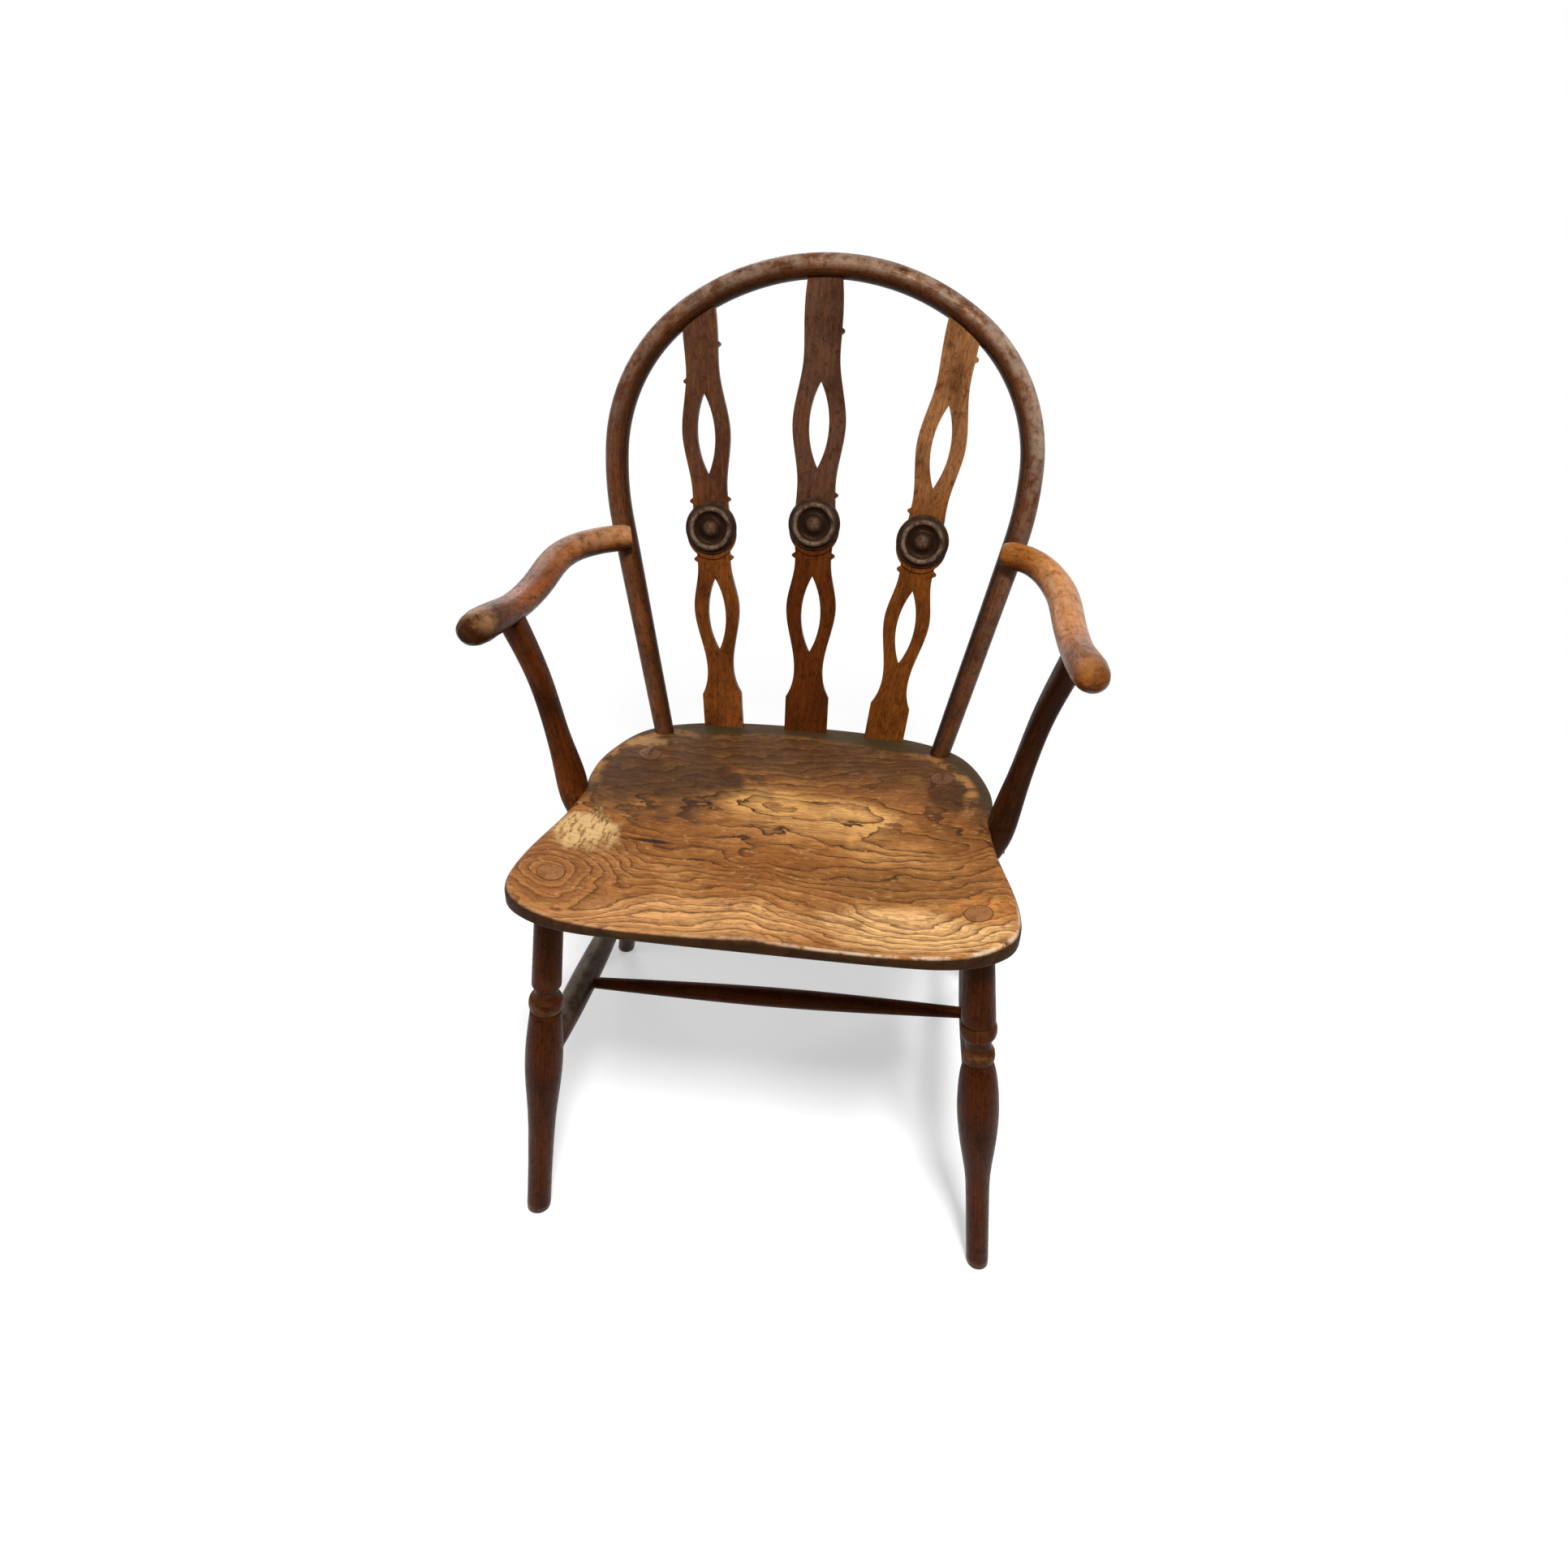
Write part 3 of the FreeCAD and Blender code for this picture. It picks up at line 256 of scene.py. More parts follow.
floor_finish = bpy.data.materials.new("pale_floor")
n = Nodes(floor_finish)
near = n.made("AddShader", {0: n.made("BsdfDiffuse", {"Color": FLOOR_SEEN}),
                            1: n.made("Emission", {"Strength": FLOOR_GLOW})})
away = n.vector("LENGTH", n.on_object())
fade = n.made("MixShader", {0: n.span(away, FADE_FROM, FADE_TO), 1: near, 2: n.made("Emission", {})})
n.show(by_camera(n, n.made("BsdfDiffuse", {"Color": FLOOR_LIT}), fade))

floor_mesh = bpy.data.meshes.new("floor")
corners = [(x * FLOOR_HALF, y * FLOOR_HALF, 0) for x, y in ((-1, -1), (1, -1), (1, 1), (-1, 1))]
floor_mesh.from_pydata(corners, [], [(0, 1, 2, 3)])
floor_mesh.materials.append(floor_finish)
floor = bpy.data.objects.new("floor", floor_mesh)
bpy.context.scene.collection.objects.link(floor)
print("floor", 2 * FLOOR_HALF, "m wide")

# %% [markdown]
# The room itself gives a weak even light. Four soft lamps stand in for a studio's soft boxes: a small
# strong one above the camera draws the shadows, and three large weak ones open them up.

# %% World and lamps
ROOM_LIGHT = 0.2
LAMPS_AIM = (0.0, 0.0, 0.5)
LAMPS = (                            # name, place, size in metres and power in watts
    ("key_above", (0.35, -1.5, 2.5), 0.5, 76), ("fill_left", (-2.3, -0.9, 1.4), 1.4, 14),
    ("rim_right", (1.6, 1.3, 2.2), 1.0, 14), ("fill_behind", (-1.1, 2.3, 1.5), 1.4, 14))

world = bpy.data.worlds.new("soft_room")
bpy.context.scene.world = world
n = Nodes(world)
n.show(by_camera(n, n.made("Background", {"Strength": ROOM_LIGHT}),
                 n.made("Background", {"Color": (1, 1, 1, 1)})), "OutputWorld")

for name, at, size, power in LAMPS:
    light = bpy.data.lights.new(name, "AREA")
    light.shape = "SQUARE"
    light.size = size
    light.energy = power
    lamp = bpy.data.objects.new(name, light)
    lamp.location = at
    lamp.rotation_euler = (Vector(LAMPS_AIM) - Vector(at)).to_track_quat("-Z", "Y").to_euler()
    bpy.context.scene.collection.objects.link(lamp)

# %% [markdown]
# ## From arrays to pieces
#
# A rod, a leg, an arm and the bow are all the same idea: rings of points carried along a path. One
# helper joins a grid of rings into a closed mesh and also stores, at every point, where that point
# lay in the tree: across the grain, across again, and along it. The wood's pattern reads this
# attribute, so the figure bends with a bent piece as it does in steamed timber.

# %% Closed meshes


def store(mesh, name, values):
    """Write one number or one vector for each vertex."""
    values = np.asarray(values, np.float32)
    kind, key = ("FLOAT_VECTOR", "vector") if values.ndim == 2 else ("FLOAT", "value")
    layer = mesh.attributes.new(name, kind, "POINT")
    layer.data.foreach_set(key, values.ravel())


def closed_tube(name, rings, grain, ends, end_grain, wear=0.0, soil=0.0):
    """Rings (n, m, 3) in source millimetres joined by quads, closed by a fan to one point at each end.

    Vertex (i, j) sits at row i * m + j, quad (i, j) joins rows i and i + 1, and j wraps round.
    """
    n, m = rings.shape[:2]
    i, j = np.meshgrid(np.arange(n - 1), np.arange(m), indexing="ij")
    k = (j + 1) % m
    quads = np.stack([i * m + j, i * m + k, (i + 1) * m + k, (i + 1) * m + j], -1).reshape(-1, 4)
    around = np.arange(m)
    after = (around + 1) % m
    first = np.stack([np.full(m, n * m), after, around], -1)
    last = np.stack([np.full(m, n * m + 1), (n - 1) * m + around, (n - 1) * m + after], -1)
    mesh = bpy.data.meshes.new(name)
    points = room(np.vstack([rings.reshape(-1, 3), ends]))
    mesh.from_pydata(points.tolist(), [], quads.tolist() + first.tolist() + last.tolist())
    mesh.polygons.foreach_set("use_smooth", np.ones(len(mesh.polygons), bool))
    store(mesh, "grain", np.vstack([grain.reshape(-1, 3), end_grain]) * MM)
    # The stored wear also carries painted highlights on some pieces, and the stored dirt also carries
    # painted shade.
    for key, values in (("wear", wear), ("soil", soil)):
        values = np.broadcast_to(values, (n, m))
        store(mesh, key, np.append(values, [values[0].mean(), values[-1].mean()]))
    piece = bpy.data.objects.new(name, mesh)
    bpy.context.scene.collection.objects.link(piece)
    return piece


def outward(mesh):
    """Turn the faces outwards where the volume, a sum of a . (b x c) over the triangles, is negative."""
    mesh.calc_loop_triangles()
    corners = np.zeros(len(mesh.loop_triangles) * 3, np.int32)
    mesh.loop_triangles.foreach_get("vertices", corners)
    co = np.zeros(len(mesh.vertices) * 3, np.float32)
    mesh.vertices.foreach_get("co", co)
    a, b, c = co.reshape(-1, 3)[corners.reshape(-1, 3)].transpose(1, 0, 2)
    if np.einsum("ij,ij->i", a, np.cross(b, c)).sum() < 0:
        mesh.flip_normals()


def settle(piece, node, finish):
    """Ride on the chair's one body, stand for a CAD node and take a finish."""
    outward(piece.data)
    piece.data.materials.append(finish)
    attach(piece, "root")
    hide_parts(node)
    print(piece.name, len(piece.data.polygons), "faces")


# %% [markdown]
# The path of a bent piece is a smooth curve through a few measured points. It is walked by length,
# because rings at even steps make even faces and the grain has to know how far along it lies.

# %% Paths and sections


def unit(vectors):
    """Vectors of length one in the same directions."""
    return vectors / np.linalg.norm(vectors, axis=-1, keepdims=True)


def steps_round(count):
    """Even angles round a full turn, without the last one, which is the first again."""
    return np.linspace(0, 2 * np.pi, count, endpoint=False)


def walked_to(line):
    """Length walked along a line to each of its points."""
    return np.append(0, np.cumsum(np.linalg.norm(np.diff(line, axis=0), axis=1)))


def evenly(line, count, endpoint=True):
    """The line's columns read at even lengths, and those lengths as one more column."""
    walked = walked_to(line)
    even = np.linspace(0, walked[-1], count, endpoint=endpoint)
    return [np.interp(even, walked, column) for column in line.T] + [even]


def smooth_path(points, count):
    """Curve through the points: a cubic spline in the chord length, natural at both ends."""
    points = np.asarray(points, float)
    t = walked_to(points)
    h = np.diff(t)
    system = np.eye(len(points))
    rhs = np.zeros(points.shape)
    rows = np.arange(1, len(points) - 1)
    system[rows, rows - 1] = h[:-1]
    system[rows, rows] = 2 * (h[:-1] + h[1:])
    system[rows, rows + 1] = h[1:]
    rhs[1:-1] = 6 * np.diff(np.diff(points, axis=0) / h[:, None], axis=0)
    bend = np.linalg.solve(system, rhs)
    u = np.linspace(0, t[-1], count)
    i = np.clip(np.searchsorted(t, u, side="right") - 1, 0, len(points) - 2)
    left, right, step = (t[i + 1] - u)[:, None], (u - t[i])[:, None], h[i][:, None]
    curved = (bend[i] * left ** 3 + bend[i + 1] * right ** 3) / (6 * step)
    from_left = (points[i] / step - bend[i] * step / 6) * left
    from_right = (points[i + 1] / step - bend[i + 1] * step / 6) * right
    return curved + from_left + from_right


def carried(path, axes, across, up, length):
    """Section carried along a path: path + first axis * across + second axis * up, and its grain."""
    first, second = (np.broadcast_to(axis, path.shape)[:, None] for axis in axes)
    rings = path[:, None] + first * across[..., None] + second * up[..., None]
    return rings, np.stack(np.broadcast_arrays(across, up, length[:, None]), -1)


print("path helpers ready")

# %% [markdown]
# ## Wood
#
# All the wood shares one recipe. The grain coordinates are warped a little, because no tree grows
# straight, and the distance from the pith gives the annual rings. Stretched noise gives the fibres
# and open pores, soft noise the uneven stain, and a wear value rubs the stain away to the paler
# wood under it; on some pieces that value also paints a highlight, and a second stored value darkens
# dirt and painted shade. Fibres and pores also lift the surface slightly and break up the sheen. The
# splats keep their CAD mesh, so they read turned object coordinates instead, and their edges, where the
# surface turns away from the board's face, are painted darker as shade.

# %% Wood recipe
RECLINE = math.radians(19.2)        # lean of the back from upright
BOARD_BACK = np.array([0, math.cos(RECLINE), -math.sin(RECLINE)])
PITH_OFF = (0.013, 0.019, 0)        # the tree's pith from the piece's own middle, in metres
WOOD_RELIEF = 0.0004


def wood(name, dark, main, pale, worn_and_highlight=None, ring=5.0, figure=0.2, mottle=26.0, seed=0.0, spots=0.6,
         rough=(0.24, 0.48), gloss=0.07, angles=None, upper=None, cap=None):
    """Stained wood whose rings, fibres and mottling are read from the grain coordinates, and whose wear,
    painted highlight, dirt and painted shade are read from stored values.
    """
    dark, main, pale = rgb(*dark), rgb(*main), rgb(*pale)
    finish = bpy.data.materials.new(name)
    n = Nodes(finish)
    place = n.stored("grain", "Vector") if angles is None else n.turned(n.on_object(), angles=angles)
    place = n.turned(place, at=(seed, seed * 0.7, seed * 0.3))

    drift = n.noise(n.turned(place, scale=(1, 1, 0.12)), 34, 2, output="Color")
    drift = n.vector("SCALE", n.vector("SUBTRACT", drift, (0.5, 0.5, 0.5)), scale=0.011)
    bent = n.vector("ADD", place, drift)
    flat = n.vector("MULTIPLY", n.turned(bent, at=PITH_OFF), (1, 1, 0.012))
    phase = n.math("FRACT", n.vector("LENGTH", flat) / (ring * MM))
    late = n.span(phase, 0.4, 0.93) * n.span(phase, 1.0, 0.95)
    streak = n.noise(n.turned(bent, scale=(1, 1, 0.06)), 420, 4, 0.65)
    fibre = n.noise(n.turned(bent, scale=(1, 1, 0.03)), 1400, 3, 0.6)
    pores = n.span(n.noise(n.turned(bent, scale=(1, 1, 0.05)), 1700, 2, 0.5), 0.58, 0.70)
    blotch = n.noise(n.turned(place, scale=(1, 1, 0.45)), mottle, 4, 0.62, 0.4)
    speck = n.noise(n.turned(place, scale=(1, 1, 0.6)), mottle * 9, 4, 0.7)

    if upper is not None:            # colour of the board's upper part, and where it starts and ends
        edge = n.part(n.on_object(), "Z") + (blotch - 0.5) * 0.12
        main = n.blend(n.span(edge, *upper[1:]), main, rgb(*upper[0]))
    body = n.layers(
        main, (n.span(blotch, 0.42, 0.72) * 0.75, dark), (n.span(blotch, 0.46, 0.28) * 0.5, pale),
        (n.span(streak, 0.5, 0.72) * 0.35, pale), (late * figure, dark),
        (n.span(fibre, 0.42, 0.72) * 0.4, dark), (n.span(speck, 0.5, 0.66) * spots, dark),
        (pores * 0.55, deep(dark)))
    shine = n.span(speck + blotch * 0.5, 0.45, 1.0, *rough)
    if angles is None:
        # Stored dirt and painted shade darken here; stored wear and painted highlight lighten.
        soil = n.stored("soil") * n.span(speck, 0.2, 0.55, 0.75, 1.0)
        rubbed_and_highlight = n.stored("wear") * n.span(n.noise(place, mottle * 2.2, 5, 0.7), 0.34, 0.62)
        body = n.layers(body, (soil, deep(dark, 0.6)), (rubbed_and_highlight, rgb(*worn_and_highlight)))
        shine = shine - rubbed_and_highlight * 0.08
    else:
        # Painted shade: the board's edges, where the surface turns away from its face, are darkened.
        facing = n.math("ABSOLUTE", n.vector("DOT_PRODUCT", n.on_object("Normal"), tuple(-BOARD_BACK)))
        body = n.blend(n.span(facing, 0.9, 0.4, 0.0, 0.7), body, deep(dark, 0.6))
    if cap is not None:
        end_grain = n.blend(n.span(speck, 0.4, 0.7, 0, 0.5), rgb(*cap), dark)
        body = n.blend(n.stored("cap") * 0.9, body, end_grain)
    n.finish(body, shine, fibre * 0.5 + pores * -0.8 + speck * 0.9, WOOD_RELIEF, gloss)
    return finish


print("wood recipe ready")

# %% [markdown]
# ## Colours of each piece
#
# The chair was stained at different times and worn unevenly: dark red-brown legs, browner rails, a
# mid brown bow rubbed pale on its crest, and arms polished by hands, the right one to honey. Each row
# gives a finish its dark, main, pale and worn tone as display colours, the typical ones of that wood.
# The worn tone also colours the painted highlights.

# %% Finishes
leg_finish = wood("dark_leg_wood", (24, 7, 1), (74, 32, 7), (98, 48, 14), (140, 96, 62), ring=4,
                  figure=0.3, rough=(0.2, 0.42), gloss=0.04, cap=(160, 108, 64))
rear_leg_finish = wood("dark_rear_leg_wood", (24, 7, 1), (70, 30, 8), (94, 46, 16), (130, 90, 60),
                       ring=4, figure=0.3, seed=0.09, rough=(0.2, 0.42), cap=(112, 74, 48))
rail_finish = wood("dark_rail_wood", (26, 13, 5), (66, 40, 20), (92, 66, 42), (128, 112, 92), ring=4,
                   figure=0.3, seed=0.31, spots=0.35)
bow_finish = wood("bow_wood", (34, 13, 3), (92, 46, 16), (128, 74, 34), (166, 144, 124), ring=3,
                  figure=0.3, mottle=34, seed=0.11, spots=0.85, rough=(0.16, 0.4), gloss=0.14)
left_arm_finish = wood("left_arm_wood", (46, 18, 3), (134, 68, 18), (166, 92, 32), (192, 142, 98),
                       mottle=22, seed=0.21, spots=0.8, rough=(0.2, 0.42), gloss=0.06)
right_arm_finish = wood("right_arm_wood", (74, 32, 7), (178, 104, 40), (212, 134, 60),
                        (226, 168, 106), mottle=22, seed=0.43, spots=0.75, rough=(0.18, 0.4), gloss=0.1)
left_post_finish = wood("left_post_wood", (28, 9, 1), (80, 36, 8), (120, 62, 20), (150, 92, 44),
                        ring=4, figure=0.3, seed=0.52, rough=(0.2, 0.42))
right_post_finish = wood("right_post_wood", (22, 8, 2), (54, 25, 8), (80, 42, 16), (110, 68, 34),
                         ring=4, figure=0.3, seed=0.61, rough=(0.2, 0.42))
boss_finish = wood("roundel_wood", (26, 15, 8), (62, 40, 27), (84, 60, 44), (150, 126, 104), ring=4,
                   mottle=60, seed=0.71, rough=(0.22, 0.4))
print("finishes", [m.name for m in bpy.data.materials if m.name.endswith("wood")])

# %% [markdown]
# ## Seat
#
# The seat is one elm plank, sawn to a bell outline and hollowed by hand. Here it is a surface over
# two parameters: the angle round the outline and the way in from the edge. The hollows are the same
# three flattened balls as in the CAD, so the leg tenons still come out flush. A soft maximum rounds
# the crease where two hollows meet, as an adze and a scraper leave it.

# %% Seat outline and hollows
SEAT_BELL_HALF, SEAT_BELL_AT = 214.5, -128.0
SEAT_WAIST_HALF, SEAT_WAIST_AT = 198.5, 8.0
SEAT_SHOULDER_HALF, SEAT_SHOULDER_AT = 203.0, 70.0
SEAT_REAR_ROUND = ((0.32, 3.0), (0.62, 18.0), (0.80, 43.0))    # share of the bell, way in from the rear
SEAT_FRONT_ROUND = ((0.83, 11.0), (0.55, 1.0))                 # the same from the front
SEAT_QUARTER_IN, SEAT_QUARTER_BACK = 9, 55
SEAT_HIP_OUT, SEAT_HIP_FORWARD = 6, 66
SEAT_CHEEK_IN, SEAT_CHEEK_FORWARD = 9, 50
SEAT_CORNERS = 420
LONG_HOLLOW = (90.0, -105.0, 110.0, 260.0, 11.0)    # centre x and y, half width, half length, depth
BOWL = (0.0, 38.0, 186.0, 135.0, 10.0)
HOLLOW_CAP = 0.8                    # how far out on its ball a hollow reaches the plank's top
SOFT_CREASE = 0.6


def seat_outline(count):
    """Even points on a closed smooth curve through the bell outline's measured points."""
    bell = SEAT_BELL_HALF
    half = [(0.0, SEAT_REAR)]
    half += [(bell * share, SEAT_REAR - fall) for share, fall in SEAT_REAR_ROUND]
    half += [(SEAT_SHOULDER_HALF - SEAT_QUARTER_IN, SEAT_SHOULDER_AT + SEAT_QUARTER_BACK),
             (SEAT_SHOULDER_HALF, SEAT_SHOULDER_AT), (SEAT_WAIST_HALF, SEAT_WAIST_AT),
             (SEAT_WAIST_HALF + SEAT_HIP_OUT, SEAT_WAIST_AT - SEAT_HIP_FORWARD), (bell, SEAT_BELL_AT),
             (bell - SEAT_CHEEK_IN, SEAT_BELL_AT - SEAT_CHEEK_FORWARD)]
    half += [(bell * share, fall - SEAT_FRONT) for share, fall in SEAT_FRONT_ROUND] + [(0.0, -SEAT_FRONT)]
    half = np.array(half)
    loop = np.vstack([half, half[-2:0:-1] * [-1, 1]])
    dense = smooth_path(np.vstack([loop[-4:], loop, loop[:5]]), 4000)
    away = np.linalg.norm(dense - loop[0], axis=1)
    lap = dense[np.argmin(away[:1200]):2800 + np.argmin(away[2800:])]
    return np.column_stack(evenly(lap, count, endpoint=False)[:2])


def dish(x, y, centre_x, centre_y, half_width, half_length, depth):
    """Depth below the plank's top of a flattened ball: its lower half less its centre's height."""
    height = depth / (1 - math.sqrt(1 - HOLLOW_CAP ** 2))
    across, along = HOLLOW_CAP * (x - centre_x) / half_width, HOLLOW_CAP * (y - centre_y) / half_length
    return height * np.sqrt(np.maximum(1 - across ** 2 - along ** 2, 0)) - (height - depth)


def hollow(x, y):
    """Soft maximum of the three hollows and the flat top: s * log(sum of exp(depth / s))."""
    depths = [dish(side * x, y, *LONG_HOLLOW) for side in (-1, 1)] + [dish(x, y, *BOWL), 0 * x]
    return SOFT_CREASE * np.log(sum(np.exp(depth / SOFT_CREASE) for depth in depths))


outline = seat_outline(SEAT_CORNERS)
print("seat outline", outline.min(0).round(1), outline.max(0).round(1))

# %% [markdown]
# The figure of the elm is drawn by one smooth field, the growth value. Its contour lines are the
# annual rings, so it is the distance from the tree's pith, which runs left to right under the seat,
# pushed about by slow waves. Round the left front tenon a knot pulls the rings into a swirl. Only the
# smooth field is stored at the vertices, and the shader draws the fine lines from it.

# %% Seat figure
PITH_AT, PITH_UNDER, PITH_CLIMB = (20, 15), 92, 1.4
RING_OVAL = 0.3                     # how much less the rings curve along the plank than across it
KNOT_AT, KNOT_REACH, KNOT_GROWTH, KNOT_RINGS = (-183.0, -136.0), 72, 250, 1.35
FIGURE_RISES = (                    # across, back, half length, half width and height of each swelling
    (-12, 31, 46, 25, -15), (70, 20, 30, 30, -8), (-8, -88, 66, 24, -20),
    (150, -28, 56, 20, -30), (132, 112, 66, 26, -26), (125, -165, 60, 24, -20))
GOLDEN_ANGLE = 2.399


def waves(x, y, scale, seed):
    """Sum of six plane waves, each turned by the golden angle, of about minus two to two."""
    total = 0
    for k in range(6):
        angle = seed + k * GOLDEN_ANGLE
        forward = x * math.cos(angle) + y * math.sin(angle)
        total = total + np.sin(forward * scale * (1 + 0.23 * k) + seed * (k + 1))
    return total / 3


def growth(x, y, up):
    """Distance from the pith in millimetres, with swellings where loops close, wrapped round the knot."""
    back = y - PITH_AT[1] + 10 * waves(x, y, 0.011, 1.3) + 3 * waves(x, y, 0.035, 4.1)
    across = RING_OVAL * (x - PITH_AT[0]) + 10 * waves(x, y, 0.013, 5.2)
    field = np.sqrt(back ** 2 + across ** 2 + (PITH_UNDER + PITH_CLIMB * up) ** 2)
    for at_x, at_y, half_x, half_y, rise in FIGURE_RISES:
        field = field + rise * np.exp(-((x - at_x) / half_x) ** 2 - ((y - at_y) / half_y) ** 2)
    away = np.hypot(x - KNOT_AT[0], y - KNOT_AT[1])
    pull = np.exp(-(away / KNOT_REACH) ** 4)
    return field * (1 - pull) + (KNOT_GROWTH - KNOT_RINGS * away) * pull


print("growth at the seat's middle", growth(0.0, 0.0, 0.0).round(1), "mm")

# %% [markdown]
# The surface itself runs in rings from the middle of the top out to the rim, round the soft edge, down
# the sawn side, along the bevel and back to the middle of the flat underside.

# %% Seat surface
SEAT_STEPS_IN = 120
EDGE_ROUND, EDGE_FALL = 9.0, 7.5
UNDERCUT = 28.0
EDGE_SIDE = ((0.2, -16.0), (2.5, -18.5), (UNDERCUT * 0.5, -26.0), (UNDERCUT - 1.5, -34.2),
             (UNDERCUT + 1, -SEAT_THICK))   # way in and up of the side's and the bevel's rings
UNDER_SHARES = (0.8, 0.55, 0.3, 0.08)


def inset(curve, distance):
    """Move a closed clockwise curve in along its normals by a distance."""
    tangent = unit(np.roll(curve, -1, 0) - np.roll(curve, 1, 0))
    return curve + np.column_stack([tangent[:, 1], -tangent[:, 0]]) * distance


inner = inset(outline, EDGE_ROUND)
top = (np.linspace(0.012, 1, SEAT_STEPS_IN) ** 0.85)[:, None, None] * inner
top_up = -hollow(top[..., 0], top[..., 1])
turns = np.radians([18, 36, 54, 72, 90])
falls = EDGE_FALL * (1 - np.cos(turns))
edge = [(inset(outline, EDGE_ROUND * (1 - math.sin(a))), top_up[-1] * (1 - 0.5 * math.sin(a)) - fall,
         fall + 0.01) for a, fall in zip(turns, falls)]
edge += [(inset(outline, way_in), up, -up) for way_in, up in EDGE_SIDE]
edge += [(inset(outline, UNDERCUT + 1) * share, -SEAT_THICK, SEAT_THICK) for share in UNDER_SHARES]
x, y = np.concatenate([top, [ring for ring, _, _ in edge]]).transpose(2, 0, 1)
up = np.concatenate([top_up, [np.broadcast_to(height, SEAT_CORNERS) for _, height, _ in edge]])
down = np.concatenate([0 * top_up, [np.full(SEAT_CORNERS, fall) for _, _, fall in edge]])

centre_up = -float(hollow(0.0, 0.0))
seat = closed_tube("elm_seat", on_seat(x, y, up), np.stack([y, up, x], -1),
                   (on_seat(0, 0, centre_up), on_seat(0, 0, -SEAT_THICK)),
                   ((0, centre_up, 0), (0, -SEAT_THICK, 0)))
UNDER_GROWTH = 60.0                 # growth at the underside's middle
store(seat.data, "growth", np.append(growth(x, y, up), [growth(0.0, 0.0, centre_up), UNDER_GROWTH]) * MM)
store(seat.data, "down_rim", np.append(down, [0.0, SEAT_THICK]) * MM)
store(seat.data, "plank", np.vstack([np.stack([x, y, up], -1).reshape(-1, 3), [
    (0, 0, centre_up), (0, 0, -SEAT_THICK)]]) * MM)
print("seat rings", up.shape)

# %% [markdown]
# ## The seat's finish
#
# The growth value becomes lines: one strong line at the end of each year, shading before it, and a
# faint line between. The lines are jagged by noise, because elm's grain interlocks, and they break
# off in places. Fibres and flecks run across the seat, as the plank's grain does.

# %% Elm figure
RING_WIDTH = 0.0128
elm = bpy.data.materials.new("elm_seat_wood")
n = Nodes(elm)
plank = n.stored("plank", "Vector")
side_way, back_way = n.part(plank, "X"), n.part(plank, "Y")


def spot(x, y, half_x, half_y, ragged=0.25, scale=24):
    """Amount 1 at a place on the plank, 0 beyond an oval with a ragged edge."""
    oval = (1 / (half_x * MM), 1 / (half_y * MM), 0)
    away = n.vector("LENGTH", n.vector("MULTIPLY", n.turned(plank, at=(-x * MM, -y * MM, 0)), oval))
    return n.span(away + (n.noise(plank, scale, 3) - 0.5) * (ragged * 4), 1.25, 0.6)


wide_jag = (n.noise(n.turned(plank, scale=(0.6, 1, 1)), 32, 2.5, 0.5) - 0.5) * 0.036
jag = wide_jag + (n.noise(plank, 170, 3, 0.6) - 0.5) * 0.0032
phase = n.math("FRACT", (n.stored("growth") + jag) / RING_WIDTH)
late = n.span(phase, 0.2, 0.95) * n.span(phase, 1.0, 0.96)
line = n.span(phase, 0.78, 0.93) * n.span(phase, 1.0, 0.96)
half_ring = n.math("FRACT", phase * 2 + jag * 20)
faint = n.span(half_ring, 0.6, 0.92) * n.span(half_ring, 1.0, 0.95)
figured = spot(15, -25, 210, 105, 0.1)
broken = n.span(n.noise(plank, 21, 4), 0.32, 0.6) * (figured * 0.55 + 0.4)
fibre = n.noise(n.turned(plank, scale=(0.04, 1, 1)), 620, 4, 0.7)
flecks = n.span(n.noise(n.turned(plank, scale=(0.09, 1, 1)), 620, 3, 0.6), 0.54, 0.66)
soft = n.noise(plank, 17, 5, 0.62, 0.5)
fine = n.noise(n.turned(plank, scale=(0.5, 1, 1)), 210, 4, 0.72)
patchy = n.noise(plank, 52, 5, 0.68, 0.3)
print("elm figure nodes", len(n.tree.nodes))

# %% [markdown]
# The seat's colour follows its use, so it starts from soft areas of tone: gold where it is rubbed,
# brown where it isn't. Each one is a spot: a distance from a place, turned into an amount. The figure
# lies over them.

# %% Elm tones
honey, umber, shade = rgb(162, 104, 52), rgb(98, 56, 25), rgb(42, 24, 11)
SEAT_TONES = (                      # across, back, half across, half back, amount and colour of each area
    (-12, 31, 56, 34, 0.85, (220, 164, 94)), (70, 20, 40, 38, 0.9, (226, 170, 102)),
    (35, -12, 66, 18, 0.7, (214, 158, 94)), (110, -45, 50, 24, 0.5, (206, 152, 90)),
    (-10, -88, 64, 34, 0.9, (140, 84, 36)), (-112, -50, 60, 44, 0.85, (138, 84, 36)),
    (118, -98, 104, 30, 0.75, (138, 92, 48)), (128, -165, 84, 32, 0.9, (240, 188, 124)),
    (182, -137, 28, 22, 0.7, (212, 138, 70)), (-34, -176, 108, 28, 0.8, (226, 168, 108)),
    (-114, -203, 66, 20, 0.6, (212, 152, 94)), (-185, -137, 62, 66, 0.7, (156, 100, 58)),
    (172, 18, 44, 84, 0.75, (122, 74, 34)), (112, 70, 70, 34, 0.5, (134, 82, 40)))
body = n.blend(n.span(soft, 0.38, 0.66) * 0.7, honey, rgb(190, 134, 76))
body = n.layers(body, *((spot(*oval) * amount, rgb(*tone)) for *oval, amount, tone in SEAT_TONES))
